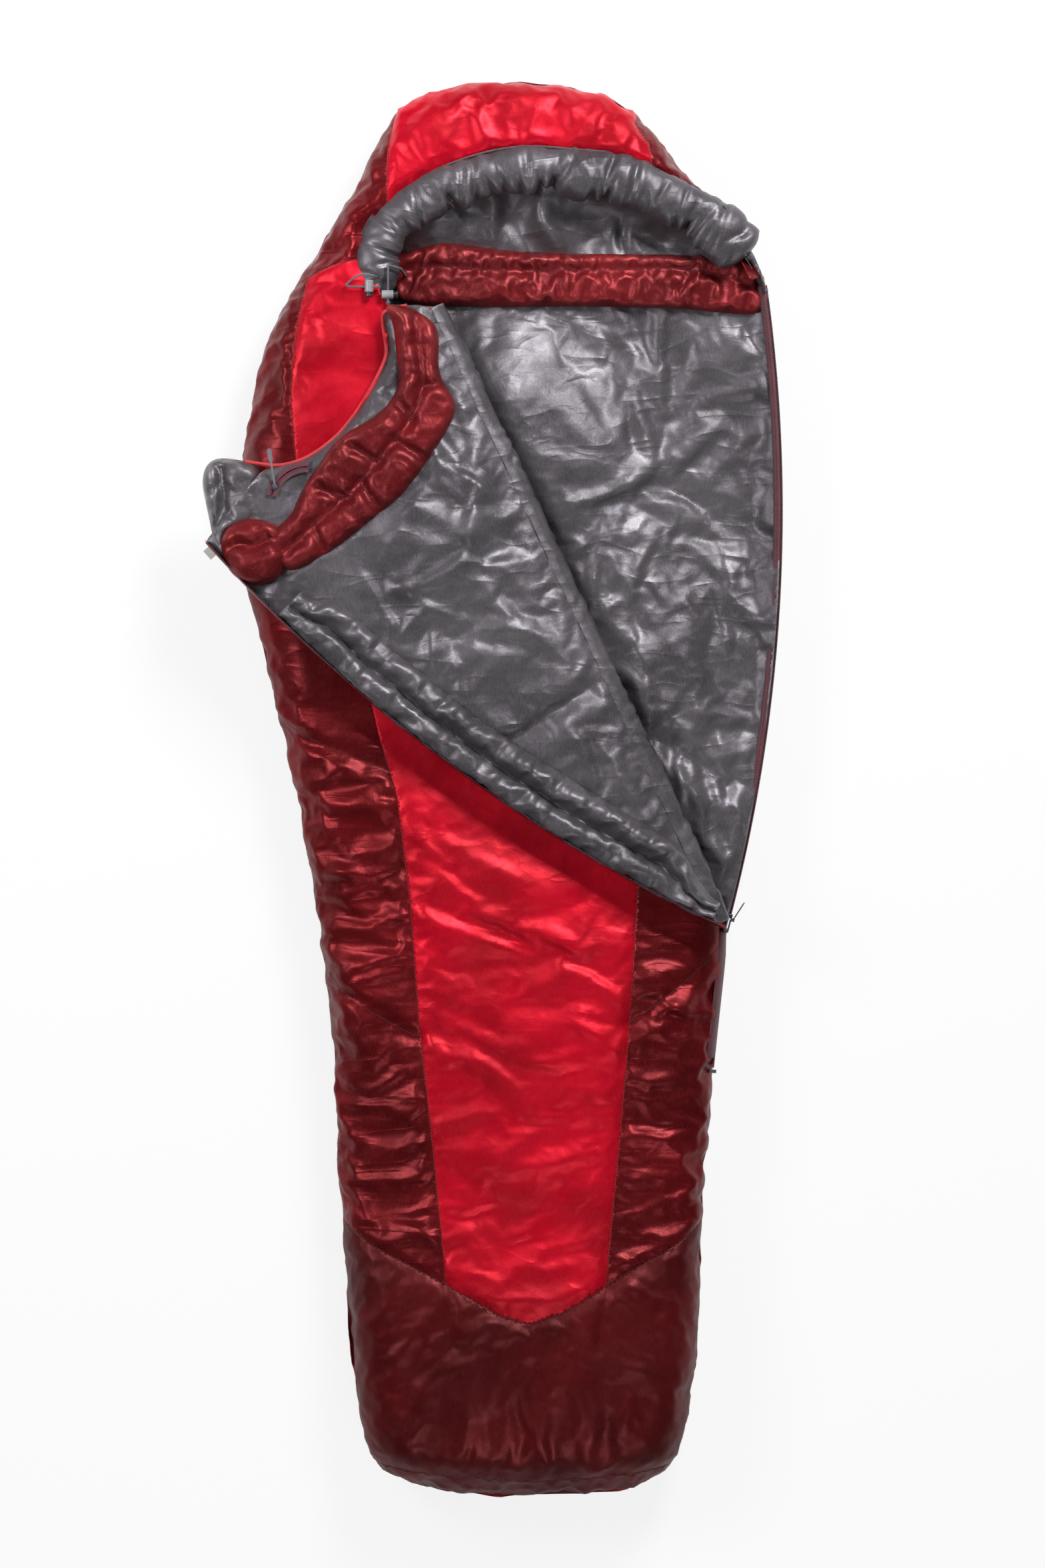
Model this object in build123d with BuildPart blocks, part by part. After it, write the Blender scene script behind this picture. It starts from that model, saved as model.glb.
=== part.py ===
from build123d import *
import math
import os

# Mummy sleeping bag, lying on its back on the floor, side zip open and the
# zipped corner of the front folded back over the left side.
# Frame: origin on the floor under the foot centreline at mid length,
# +Y towards the hood, +X towards the zip, +Z up. Millimetres.

os.makedirs("parts", exist_ok=True)

# ---------------------------------------------------------------- dimensions
FABRIC = 1.2  # drawn thickness of one fabric layer
FOLD_H = 132.0  # height of the fold line, just above the front shell
BACK_TOP = 47.0  # top of the back quilt (liner face)
FRONT_LOW = 86.0  # underside of the front quilt (liner face)
FRONT_TOP = 131.4  # top of the front quilt (shell face)
FOOT_TOP = 150.0  # top of the foot box
WALL = 28.0  # thickness of the insulated side wall
ZIP_Z = 80.0  # height of the zip's closing plane
ZIP_C = (-2015.3, 413.9)  # centre of the curve the zip follows
ZIP_R = 2397.7  # radius of that curve
ZIP_LOW = -14.79  # slider at rest, degrees on the curve
ZIP_TOP = 7.40  # slider at the top stop, degrees on the curve
EDGE = 1.7  # shell edge outside the zip's centre plane
FOLD_A = (290.72, -183.30)  # fold line, zip end
FOLD_B = (-125.16, 709.56)  # fold line, neck end
COIL_GAP = 1.6  # half gap between the two coils
COIL_W = 1.2  # half width of a coil
COIL_D = 2.4  # depth of a coil
TAPE_D = 21.0  # depth of the zip tape
RIM_R = 24.0  # radius of the hood's padded rim
RIM_Z = 107.0  # height of the rim's centre
LOCK_Z = 139.2  # height of both cord locks' centres
CORD_R = 1.5  # drawcord radius

_len = math.dist(FOLD_A, FOLD_B)
FOLD_U = ((FOLD_B[0] - FOLD_A[0]) / _len, (FOLD_B[1] - FOLD_A[1]) / _len)
FOLD_N = (FOLD_U[1], -FOLD_U[0])  # square to the fold, towards the zip


def on_zip(deg, n=0.0):
    """Point on the zip curve, n outside it."""
    t = math.radians(deg)
    r = ZIP_R + n
    return (ZIP_C[0] + r * math.cos(t), ZIP_C[1] + r * math.sin(t))


def on_fold(s, n=0.0):
    """Point s along the fold line from its zip end, n towards the zip side."""
    return (
        FOLD_A[0] + s * FOLD_U[0] + n * FOLD_N[0],
        FOLD_A[1] + s * FOLD_U[1] + n * FOLD_N[1],
    )


# The folded corner is sketched as it lies when closed, on planes turned half
# a turn about the fold line, so a closed height z lands at 2 * FOLD_H - z.
_au = FOLD_A[0] * FOLD_U[0] + FOLD_A[1] * FOLD_U[1]
FOLDED = Plane(
    origin=(
        2 * (FOLD_A[0] - _au * FOLD_U[0]),
        2 * (FOLD_A[1] - _au * FOLD_U[1]),
        2 * FOLD_H,
    ),
    x_dir=(2 * FOLD_U[0] ** 2 - 1, 2 * FOLD_U[0] * FOLD_U[1], 0),
    z_dir=(0, 0, -1),
)

# ------------------------------------------------------------------ outlines
LEFT_SIDE = [
    (-84.8, 1045.6), (-139.9, 1033.8), (-187.2, 1009.2), (-219.8, 959.9),
    (-241.4, 910.6), (-270.0, 861.3), (-298.6, 812.1), (-330.1, 762.8),
    (-359.7, 713.5), (-382.4, 664.2), (-396.2, 615.0), (-406.0, 565.7),
    (-414.9, 516.4), (-421.8, 467.1), (-425.7, 408.0), (-423.8, 339.0),
    (-414.9, 299.6), (-400.2, 255.1), (-384.3, 196.1), (-368.6, 122.2),
    (-351.8, 48.3), (-333.1, -25.6), (-323.2, -99.5), (-312.4, -148.8),
    (-298.6, -247.4), (-291.7, -321.3), (-282.8, -395.2), (-278.9, -469.1),
    (-275.0, -543.0), (-271.0, -616.9), (-267.1, -690.8), (-263.1, -740.1),
    (-255.2, -814.0), (-248.3, -887.9), (-241.4, -937.2), (-237.5, -961.8),
    (-229.6, -986.5), (-208.9, -1011.1), (-153.7, -1035.8), (-84.8, -1046.6),
]
FOOT_AND_RIGHT = [
    (3.9, -1049.6), (92.6, -1046.6), (162.6, -1035.8), (209.9, -1011.1),
    (228.6, -986.5), (237.5, -961.8), (243.4, -937.2), (251.3, -887.9),
    (257.2, -838.7), (263.1, -764.7), (264.1, -690.8), (266.1, -616.9),
    (270.0, -543.0), (277.9, -469.1), (283.8, -395.2), (291.7, -321.3),
    (297.2, -272.0), (299.7, -245.0),
]
HOOD_RIGHT = [
    (345.0, 785.0), (326.2, 812.1), (297.6, 861.3), (269.0, 886.0),
    (244.4, 910.6), (204.0, 959.9), (185.3, 984.5), (162.6, 1009.2),
    (115.3, 1033.8), (53.2, 1045.6), (-15.8, 1050.5),
]
ZIP_EDGE = [on_zip(-15.2 + i * 23.5 / 24, EDGE) for i in range(25)]
OUTLINE = LEFT_SIDE + FOOT_AND_RIGHT + ZIP_EDGE + HOOD_RIGHT

# Closed zip below the slider, down to its bottom stop.
ZIP_BELOW = [on_zip(-15.2), (298.0, -245.0), (295.5, -272.0), (290.0, -321.3),
             (282.1, -395.2), (280.6, -412.0)]

# Centre line of the hood's padded rim, left end to right end.
RIM = [
    (-211.0, 728.0), (-215.8, 757.0), (-216.8, 787.0), (-206.0, 821.9),
    (-180.3, 849.5), (-143.9, 873.2), (-94.6, 895.8), (-40.4, 912.6),
    (13.8, 918.5), (72.9, 912.6), (132.1, 908.6), (176.4, 890.9),
    (220.8, 866.3), (270.0, 841.6), (304.5, 814.0), (328.0, 788.0),
]
# Everything inside the rim, the fold line and the zip is open.
OPENING = (
    [(420.0, 758.0), (340.0, 758.0)]
    + RIM[::-1]
    + [(-196.0, 712.0), on_fold(985.0, -0.8), on_fold(-60.0, -0.8),
       (420.0, on_fold(-60.0)[1])]
)
SHOULDER = [(-520.0, 745.0), (-330.0, 762.8), (-247.0, 782.0), (-216.0, 780.0)]
HOOD_ZONE = SHOULDER + [(0.0, 770.0), (340.0, 756.0), (520.0, 756.0),
                        (520.0, 1200.0), (-520.0, 1200.0)]
VEE = [(-330.0, -623.0), (-271.0, -648.5), (-125.2, -722.4), (-32.5, -774.6),
       (7.9, -786.4), (60.1, -768.7), (152.8, -710.5), (266.1, -650.4),
       (330.0, -618.0)]
FOOT_ZONE = VEE + [(330.0, -1200.0), (-330.0, -1200.0)]
FOOT_END = [(-330.0, -1002.0), (-184.0, -1013.0), (-52.0, -1023.0),
            (18.0, -1030.0), (88.0, -1023.0), (185.0, -1015.0),
            (330.0, -1004.0)]
END_ZONE = FOOT_END + [(330.0, -1200.0), (-330.0, -1200.0)]
FRONT_ZONE = VEE[::-1] + SHOULDER + [(0.0, 770.0), (340.0, 756.0),
                                     (520.0, 756.0), (520.0, -618.0)]
SEAM_LEFT = [(-330.0, 762.8), (-341.0, 654.4), (-343.9, 575.5),
             (-336.1, 486.8), (-281.9, 358.7), (-211.9, 72.9),
             (-187.2, -5.9), (-167.5, -163.6), (-153.7, -350.8),
             (-134.0, -528.2), (-105.0, -820.0)]
SEAM_RIGHT = [(285.0, 800.0), (285.0, 600.0), (275.0, 480.0), (240.0, 300.0),
              (171.0, 80.0), (167.5, -139.0), (161.6, -252.3),
              (153.7, -370.5), (141.9, -508.5), (132.1, -607.1),
              (112.0, -820.0)]
LEFT_ZONE = SEAM_LEFT + [(-520.0, -820.0), (-520.0, 745.0)]
RIGHT_ZONE = SEAM_RIGHT + [(520.0, -820.0), (520.0, 800.0)]
CENTRE_ZONE = SEAM_LEFT + SEAM_RIGHT[::-1] + [(-216.0, 800.0)]
CROWN_ZONE = [(-203.0, 830.0), (-203.0, 875.0), (-209.0, 980.6),
              (-225.0, 1100.0), (230.0, 1100.0), (175.4, 993.4),
              (191.2, 957.9), (191.2, 870.0)]
HOOD_LEFT_ZONE = [(-203.0, 830.0), (-203.0, 875.0), (-209.0, 980.6),
                  (-225.0, 1100.0), (-520.0, 1100.0), (-520.0, 700.0),
                  (-203.0, 700.0)]
HOOD_RIGHT_ZONE = [(191.2, 870.0), (191.2, 957.9), (175.4, 993.4),
                   (230.0, 1100.0), (520.0, 1100.0), (520.0, 700.0),
                   (191.2, 700.0)]

# Neck edge of the folded corner, closed position, fold end to zip end.
FLAP_NECK = [on_fold(985.0, 0.8), (-96.9, 746.3), (-67.4, 769.1),
             (-53.0, 757.1), (-27.3, 726.4), (-11.9, 718.7), (23.1, 709.8),
             (68.5, 702.6), (113.4, 700.8), (155.3, 709.4), (181.6, 720.7),
             (204.0, 736.7), (224.0, 752.0)]
FLAP_TOP = 8.05  # zip end of the neck edge, degrees on the zip curve
FLAP_LOW = -14.92  # fold end of the zip edge
FLAP_COLLAR = [(-84.0, 740.0), (-91.0, 706.0), (-84.0, 684.0),
               (-42.0, 648.0), (-34.0, 602.0), (-14.6, 588.3),
               (34.3, 580.7), (111.3, 571.3), (173.2, 583.6),
               (237.4, 594.1), (290.0, 615.0), (300.0, 640.0),
               (305.0, 690.0), (300.0, 718.0), (276.0, 684.0),
               (245.9, 680.9), (210.3, 684.0), (147.5, 690.0),
               (101.6, 688.0), (45.4, 670.5), (1.1, 672.9),
               (-37.4, 714.4), (-62.0, 742.0)]

# --------------------------------------------------------------- back quilt
with BuildPart() as back_outer_shell:
    with BuildSketch(Plane.XY):
        with BuildLine():
            Polyline(*OUTLINE, close=True)
        make_face()
    extrude(amount=FABRIC)
    # Side strip that rises to the zip tape along the opening.
    with BuildSketch(Plane.XY.offset(FABRIC)):
        with BuildLine():
            Polyline(
                *[on_zip(-14.85 + i * 23.0 / 24, EDGE) for i in range(25)],
                *[on_zip(-14.85 + i * 23.0 / 24, 0.5) for i in range(24, -1, -1)],
                close=True,
            )
        make_face()
    extrude(amount=ZIP_Z - 16.0 - FABRIC)
back_outer_shell.part.label = "back_outer_shell"
export_step(back_outer_shell.part, "parts/back_outer_shell.step")

with BuildPart() as back_insulation:
    with BuildSketch(Plane.XY.offset(FABRIC)):
        with BuildLine():
            Polyline(*OUTLINE, close=True)
        make_face()
        offset(amount=-2.2, kind=Kind.INTERSECTION, mode=Mode.REPLACE)
    extrude(amount=BACK_TOP - 2 * FABRIC)
back_insulation.part.label = "back_insulation"
export_step(back_insulation.part, "parts/back_insulation.step")

with BuildPart() as back_liner:
    with BuildSketch(Plane.XY.offset(BACK_TOP - FABRIC)):
        with BuildLine():
            Polyline(*OUTLINE, close=True)
        make_face()
        offset(amount=-3.0, kind=Kind.INTERSECTION, mode=Mode.REPLACE)
    extrude(amount=FABRIC)
back_liner.part.label = "back_liner"
export_step(back_liner.part, "parts/back_liner.step")

# ------------------------------------------------------- padded rim and cord
RIM_PATH = [(x, y, RIM_Z) for x, y in RIM]
with BuildPart() as hood_rim_tube:
    with BuildLine():
        rim_line = Spline(*RIM_PATH)
    with BuildSketch(Plane(origin=rim_line @ 0, z_dir=rim_line % 0)):
        Circle(RIM_R)
        Circle(CORD_R + 1.5, mode=Mode.SUBTRACT)
    sweep(path=rim_line)
    # Slotted eyelet for the drawcord, in the top of the rim near its left end.
    with BuildSketch(Plane.XY.offset(RIM_Z)):
        with Locations((-215.6, 761.0)):
            SlotOverall(24.0, 7.0, rotation=90)
    extrude(amount=RIM_R + 5.0, mode=Mode.SUBTRACT)
hood_rim_tube.part.label = "hood_rim_tube"
export_step(hood_rim_tube.part, "parts/hood_rim_tube.step")

# ----------------------------------------------- front quilt: shell and hood
with BuildPart() as front_tray:
    # The front shell before it is cut into panels: a top sheet with side
    # walls down to the back shell, open inside the rim, fold and zip.
    with BuildSketch(Plane.XY.offset(FABRIC)):
        with BuildLine():
            Polyline(*OUTLINE, close=True)
        make_face()
    extrude(amount=FRONT_TOP - FABRIC)
    with BuildSketch(Plane.XY.offset(FABRIC)):
        with BuildLine():
            Polyline(*OUTLINE, close=True)
        make_face()
        offset(amount=-FABRIC, kind=Kind.INTERSECTION, mode=Mode.REPLACE)
    extrude(amount=FRONT_TOP - 2 * FABRIC, mode=Mode.SUBTRACT)
    with BuildSketch(Plane.XY):
        with BuildLine():
            Polyline(*OPENING, close=True)
        make_face()
    extrude(amount=200.0, mode=Mode.SUBTRACT)
    # Slot in the right wall where the closed run of the zip shows.
    with BuildSketch(Plane.XY.offset(ZIP_Z - 16.0)):
        with BuildLine():
            Polyline(on_zip(-14.4), *ZIP_BELOW, (279.8, -420.5))
        trace(line_width=12.0)
    extrude(amount=32.0, mode=Mode.SUBTRACT)

with BuildPart() as rim_space:
    with BuildLine():
        rim_line_2 = Spline(*RIM_PATH)
    with BuildSketch(Plane(origin=rim_line_2 @ 0, z_dir=rim_line_2 % 0)):
        Circle(RIM_R + 0.6)
    sweep(path=rim_line_2)
    # Room over the drawcord's eyelet.
    with BuildSketch(Plane.XY.offset(RIM_Z)):
        with Locations((-216.0, 761.0)):
            SlotOverall(28.0, 11.0, rotation=90)
    extrude(amount=RIM_R + 5.0)

with BuildPart() as front_center_panel:
    add(front_tray.part)
    for zone in (CENTRE_ZONE, FRONT_ZONE):
        with BuildSketch(Plane.XY):
            with BuildLine():
                Polyline(*zone, close=True)
            make_face()
        extrude(amount=200.0, mode=Mode.INTERSECT)
    add(rim_space.part, mode=Mode.SUBTRACT)
front_center_panel.part.label = "front_center_panel"
export_step(front_center_panel.part, "parts/front_center_panel.step")

with BuildPart() as front_left_panel:
    add(front_tray.part)
    for zone in (LEFT_ZONE, FRONT_ZONE):
        with BuildSketch(Plane.XY):
            with BuildLine():
                Polyline(*zone, close=True)
            make_face()
        extrude(amount=200.0, mode=Mode.INTERSECT)
front_left_panel.part.label = "front_left_panel"
export_step(front_left_panel.part, "parts/front_left_panel.step")

with BuildPart() as front_right_panel:
    add(front_tray.part)
    for zone in (RIGHT_ZONE, FRONT_ZONE):
        with BuildSketch(Plane.XY):
            with BuildLine():
                Polyline(*zone, close=True)
            make_face()
        extrude(amount=200.0, mode=Mode.INTERSECT)
front_right_panel.part.label = "front_right_panel"
export_step(front_right_panel.part, "parts/front_right_panel.step")

with BuildPart() as hood_crown_panel:
    add(front_tray.part)
    for zone in (CROWN_ZONE, HOOD_ZONE):
        with BuildSketch(Plane.XY):
            with BuildLine():
                Polyline(*zone, close=True)
            make_face()
        extrude(amount=200.0, mode=Mode.INTERSECT)
    add(rim_space.part, mode=Mode.SUBTRACT)
hood_crown_panel.part.label = "hood_crown_panel"
export_step(hood_crown_panel.part, "parts/hood_crown_panel.step")

with BuildPart() as hood_left_panel:
    add(front_tray.part)
    for zone in (HOOD_LEFT_ZONE, HOOD_ZONE):
        with BuildSketch(Plane.XY):
            with BuildLine():
                Polyline(*zone, close=True)
            make_face()
        extrude(amount=200.0, mode=Mode.INTERSECT)
    add(rim_space.part, mode=Mode.SUBTRACT)
hood_left_panel.part.label = "hood_left_panel"
export_step(hood_left_panel.part, "parts/hood_left_panel.step")

with BuildPart() as hood_right_panel:
    add(front_tray.part)
    for zone in (HOOD_RIGHT_ZONE, HOOD_ZONE):
        with BuildSketch(Plane.XY):
            with BuildLine():
                Polyline(*zone, close=True)
            make_face()
        extrude(amount=200.0, mode=Mode.INTERSECT)
    add(rim_space.part, mode=Mode.SUBTRACT)
hood_right_panel.part.label = "hood_right_panel"
export_step(hood_right_panel.part, "parts/hood_right_panel.step")

# ------------------------------------------- front quilt: fill and lining
with BuildPart() as front_fill:
    # Fill of the front before it is shared between body and hood: a quilt
    # above the lining, and a side wall down to the back quilt.
    with BuildSketch(Plane.XY.offset(BACK_TOP + 0.2)):
        with BuildLine():
            Polyline(*OUTLINE, close=True)
        make_face()
        offset(amount=-2.2, kind=Kind.INTERSECTION, mode=Mode.REPLACE)
    extrude(amount=FRONT_TOP - FABRIC - BACK_TOP - 0.2)
    with BuildSketch(Plane.XY.offset(BACK_TOP)):
        with BuildLine():
            Polyline(*OUTLINE, close=True)
        make_face()
        offset(amount=-2.2 - WALL, kind=Kind.INTERSECTION, mode=Mode.REPLACE)
    extrude(amount=FRONT_LOW + FABRIC - BACK_TOP, mode=Mode.SUBTRACT)
    with BuildSketch(Plane.XY):
        with BuildLine():
            Polyline(*OPENING, close=True)
        make_face()
        offset(amount=0.4, kind=Kind.INTERSECTION, mode=Mode.REPLACE)
    extrude(amount=200.0, mode=Mode.SUBTRACT)
    # Room for the closed run of the zip.
    with BuildSketch(Plane.XY.offset(ZIP_Z - 27.0)):
        with BuildLine():
            Polyline(on_zip(-14.4), *ZIP_BELOW, (279.8, -422.0))
        trace(line_width=16.0)
    extrude(amount=54.0, mode=Mode.SUBTRACT)

with BuildPart() as front_insulation:
    add(front_fill.part)
    with BuildSketch(Plane.XY):
        with BuildLine():
            Polyline(*FRONT_ZONE, close=True)
        make_face()
    extrude(amount=200.0, mode=Mode.INTERSECT)
    add(rim_space.part, mode=Mode.SUBTRACT)
front_insulation.part.label = "front_insulation"
export_step(front_insulation.part, "parts/front_insulation.step")

with BuildPart() as hood_insulation:
    add(front_fill.part)
    with BuildSketch(Plane.XY):
        with BuildLine():
            Polyline(*HOOD_ZONE, close=True)
        make_face()
    extrude(amount=200.0, mode=Mode.INTERSECT)
    add(rim_space.part, mode=Mode.SUBTRACT)
hood_insulation.part.label = "hood_insulation"
export_step(hood_insulation.part, "parts/hood_insulation.step")

with BuildPart() as front_lining:
    # Lining of the front: a sheet under the fill, turned down at the walls.
    with BuildSketch(Plane.XY.offset(BACK_TOP + 0.2)):
        with BuildLine():
            Polyline(*OUTLINE, close=True)
        make_face()
        offset(amount=-2.6 - WALL, kind=Kind.INTERSECTION, mode=Mode.REPLACE)
    extrude(amount=FRONT_LOW + FABRIC - BACK_TOP - 0.2)
    with BuildSketch(Plane.XY.offset(BACK_TOP)):
        with BuildLine():
            Polyline(*OUTLINE, close=True)
        make_face()
        offset(
            amount=-2.6 - WALL - FABRIC,
            kind=Kind.INTERSECTION,
            mode=Mode.REPLACE,
        )
    extrude(amount=FRONT_LOW - BACK_TOP, mode=Mode.SUBTRACT)
    with BuildSketch(Plane.XY):
        with BuildLine():
            Polyline(*OPENING, close=True)
        make_face()
        offset(amount=0.4, kind=Kind.INTERSECTION, mode=Mode.REPLACE)
    extrude(amount=200.0, mode=Mode.SUBTRACT)

with BuildPart() as front_liner:
    add(front_lining.part)
    with BuildSketch(Plane.XY):
        with BuildLine():
            Polyline(*FRONT_ZONE, close=True)
        make_face()
    extrude(amount=200.0, mode=Mode.INTERSECT)
    add(rim_space.part, mode=Mode.SUBTRACT)
front_liner.part.label = "front_liner"
export_step(front_liner.part, "parts/front_liner.step")

with BuildPart() as hood_liner:
    add(front_lining.part)
    with BuildSketch(Plane.XY):
        with BuildLine():
            Polyline(*HOOD_ZONE, close=True)
        make_face()
    extrude(amount=200.0, mode=Mode.INTERSECT)
    add(rim_space.part, mode=Mode.SUBTRACT)
hood_liner.part.label = "hood_liner"
export_step(hood_liner.part, "parts/hood_liner.step")

# ------------------------------------------------------------------ foot box
with BuildPart() as foot_tray:
    # Shell of the foot box, taller than the front, open towards the body.
    with BuildSketch(Plane.XY.offset(FABRIC)):
        with BuildLine():
            Polyline(*OUTLINE, close=True)
        make_face()
        with BuildLine():
            Polyline(*FOOT_ZONE, close=True)
        make_face(mode=Mode.INTERSECT)
    extrude(amount=FOOT_TOP - FABRIC)
    with BuildSketch(Plane.XY.offset(FABRIC)):
        with BuildLine():
            Polyline(*OUTLINE, close=True)
        make_face()
        offset(amount=-FABRIC, kind=Kind.INTERSECTION, mode=Mode.REPLACE)
    extrude(amount=FRONT_TOP - 2 * FABRIC, mode=Mode.SUBTRACT)
    with BuildSketch(Plane.XY.offset(FABRIC)):
        with BuildLine():
            Polyline(*OUTLINE, close=True)
        make_face()
        with BuildLine():
            Polyline(*FOOT_ZONE, close=True)
        make_face(mode=Mode.INTERSECT)
        offset(amount=-FABRIC, kind=Kind.INTERSECTION, mode=Mode.REPLACE)
    extrude(amount=FOOT_TOP - 2 * FABRIC, mode=Mode.SUBTRACT)

with BuildPart() as footbox_end_panel:
    add(foot_tray.part)
    with BuildSketch(Plane.XY):
        with BuildLine():
            Polyline(*END_ZONE, close=True)
        make_face()
    extrude(amount=200.0, mode=Mode.INTERSECT)
footbox_end_panel.part.label = "footbox_end_panel"
export_step(footbox_end_panel.part, "parts/footbox_end_panel.step")

with BuildPart() as footbox_shell:
    add(foot_tray.part)
    with BuildSketch(Plane.XY):
        with BuildLine():
            Polyline(*END_ZONE, close=True)
        make_face()
    extrude(amount=200.0, mode=Mode.SUBTRACT)
footbox_shell.part.label = "footbox_shell"
export_step(footbox_shell.part, "parts/footbox_shell.step")

with BuildPart() as footbox_insulation:
    with BuildSketch(Plane.XY.offset(BACK_TOP + 0.2)):
        with BuildLine():
            Polyline(*OUTLINE, close=True)
        make_face()
        with BuildLine():
            Polyline(*FOOT_ZONE, close=True)
        make_face(mode=Mode.INTERSECT)
        offset(amount=-2.2, kind=Kind.INTERSECTION, mode=Mode.REPLACE)
    extrude(amount=FOOT_TOP - FABRIC - BACK_TOP - 0.4)
    with BuildSketch(Plane.XY.offset(BACK_TOP)):
        with BuildLine():
            Polyline(*OUTLINE, close=True)
        make_face()
        offset(amount=-2.2 - WALL, kind=Kind.INTERSECTION, mode=Mode.REPLACE)
    extrude(amount=FOOT_TOP - 45.0 - BACK_TOP, mode=Mode.SUBTRACT)
footbox_insulation.part.label = "footbox_insulation"
export_step(footbox_insulation.part, "parts/footbox_insulation.step")

with BuildPart() as footbox_liner:
    with BuildSketch(Plane.XY.offset(BACK_TOP + 0.2)):
        with BuildLine():
            Polyline(*OUTLINE, close=True)
        make_face()
        offset(amount=-2.6 - WALL, kind=Kind.INTERSECTION, mode=Mode.REPLACE)
        with BuildLine():
            Polyline(*FOOT_ZONE, close=True)
        make_face(mode=Mode.INTERSECT)
    extrude(amount=FOOT_TOP - 45.2 - BACK_TOP)
    with BuildSketch(Plane.XY.offset(BACK_TOP)):
        with BuildLine():
            Polyline(*OUTLINE, close=True)
        make_face()
        offset(
            amount=-2.6 - WALL - FABRIC,
            kind=Kind.INTERSECTION,
            mode=Mode.REPLACE,
        )
    extrude(amount=FOOT_TOP - 46.2 - BACK_TOP, mode=Mode.SUBTRACT)
footbox_liner.part.label = "footbox_liner"
export_step(footbox_liner.part, "parts/footbox_liner.step")

# --------------------------------------------------- draught collar, back
COLLAR_BACK = [
    (-194.0, 716.5), (-190.0, 795.3), (-149.8, 806.0), (-105.4, 811.0),
    (-44.3, 802.2), (25.6, 795.3), (114.3, 795.3), (246.4, 795.3),
    (290.0, 788.0), (306.0, 772.0), (314.0, 755.0), (346.0, 750.0),
    (347.0, 716.0), (325.2, 702.7), (246.4, 714.5), (157.7, 716.5), (-35.5, 718.4),
]
with BuildPart() as back_collar:
    with BuildSketch(Plane.XY.offset(BACK_TOP + 0.4)):
        with BuildLine():
            Polyline(*COLLAR_BACK, close=True)
        make_face()
    extrude(amount=18.0)
    # Channel for the elastic cord, along the stitch line.
    with BuildSketch(Plane(origin=(0, 760.0, BACK_TOP + 9.4), z_dir=(1, 0, 0))):
        Circle(CORD_R + 0.6)
    extrude(amount=400.0, both=True, mode=Mode.SUBTRACT)
    # Notch where the cord leaves the channel and rises.
    with BuildSketch(Plane.XY):
        with Locations((-183.0, 767.0)):
            Rectangle(30.0, 26.0)
    extrude(amount=100.0, mode=Mode.SUBTRACT)
back_collar.part.label = "back_collar"
export_step(back_collar.part, "parts/back_collar.step")

with BuildPart() as collar_cord:
    # Elastic cord: through the collar, out at its left end, up to the lock.
    CORD_RUN = [
        (322.0, 760.0, BACK_TOP + 9.4), (-174.0, 760.0, BACK_TOP + 9.4),
        (-181.0, 768.0, 126.0), (-200.0, 772.0, LOCK_Z),
        (-200.0, 718.0, LOCK_Z),
    ]
    for start, stop in zip(CORD_RUN, CORD_RUN[1:]):
        run = Vector(*stop) - Vector(*start)
        with BuildSketch(Plane(origin=start, z_dir=run)):
            Circle(CORD_R)
        extrude(amount=run.length)
    for bend in CORD_RUN[1:-1]:
        with Locations(Plane(origin=bend)):
            Sphere(CORD_R + 0.05)
    with Locations(Plane(origin=(-200.0, 716.5, LOCK_Z))):
        Sphere(3.2)
collar_cord.part.label = "collar_cord"
export_step(collar_cord.part, "parts/collar_cord.step")

with BuildPart() as hood_drawcord:
    # Drawcord: round the rim inside its channel, out of the eyelet and
    # across to the lock, with a stopper knot at its end.
    with BuildLine():
        cord_in_rim = Spline(*RIM_PATH[2:])
        cord_out = Spline(
            (-216.8, 787.0, RIM_Z), (-215.6, 762.0, 113.0),
            (-216.5, 755.5, 130.0), (-224.0, 757.0, LOCK_Z),
            (-240.0, 757.5, LOCK_Z), (-256.0, 748.0, LOCK_Z),
            (-251.0, 740.0, LOCK_Z),
            tangents=[(0, -1, 0), (1, 0, 0)],
        )
        cord_straight = Line((-251.0, 740.0, LOCK_Z), (-215.0, 740.0, LOCK_Z))
    with BuildSketch(Plane(origin=cord_straight @ 0, z_dir=(1, 0, 0))):
        Circle(CORD_R)
    sweep(path=cord_straight)
    with Locations(Plane(origin=(-213.8, 740.0, LOCK_Z))):
        Sphere(3.0)
    with BuildSketch(Plane(origin=cord_out @ 0, z_dir=cord_out % 0)):
        Circle(CORD_R)
    sweep(path=cord_out)
    with BuildSketch(Plane(origin=cord_in_rim @ 0, z_dir=(0, 1, 0))):
        Circle(CORD_R)
    sweep(path=cord_in_rim)
hood_drawcord.part.label = "hood_drawcord"
export_step(hood_drawcord.part, "parts/hood_drawcord.step")

# ---------------------------------------------------------------- cord locks
# Each lock is a barrel with a cross hole for the cord, a spring-loaded
# plunger whose slotted hole grips the cord, and the spring behind it.
LOCK_R = 6.3  # barrel radius
LOCK_BORE = 4.6  # bore for the plunger
LOCK_HOLE = 2.1  # cross hole radius
PRESS = 3.0  # plunger travel
HOOD_LOCK = Plane(origin=(-228.0, 740.0, LOCK_Z), x_dir=(1, 0, 0),
                  z_dir=(0, 1, 0))  # plunger along +Y, cord along X
COLLAR_LOCK = Plane(origin=(-200.0, 728.5, LOCK_Z), x_dir=(0, 1, 0),
                    z_dir=(-1, 0, 0))  # plunger along -X, cord along Y

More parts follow.
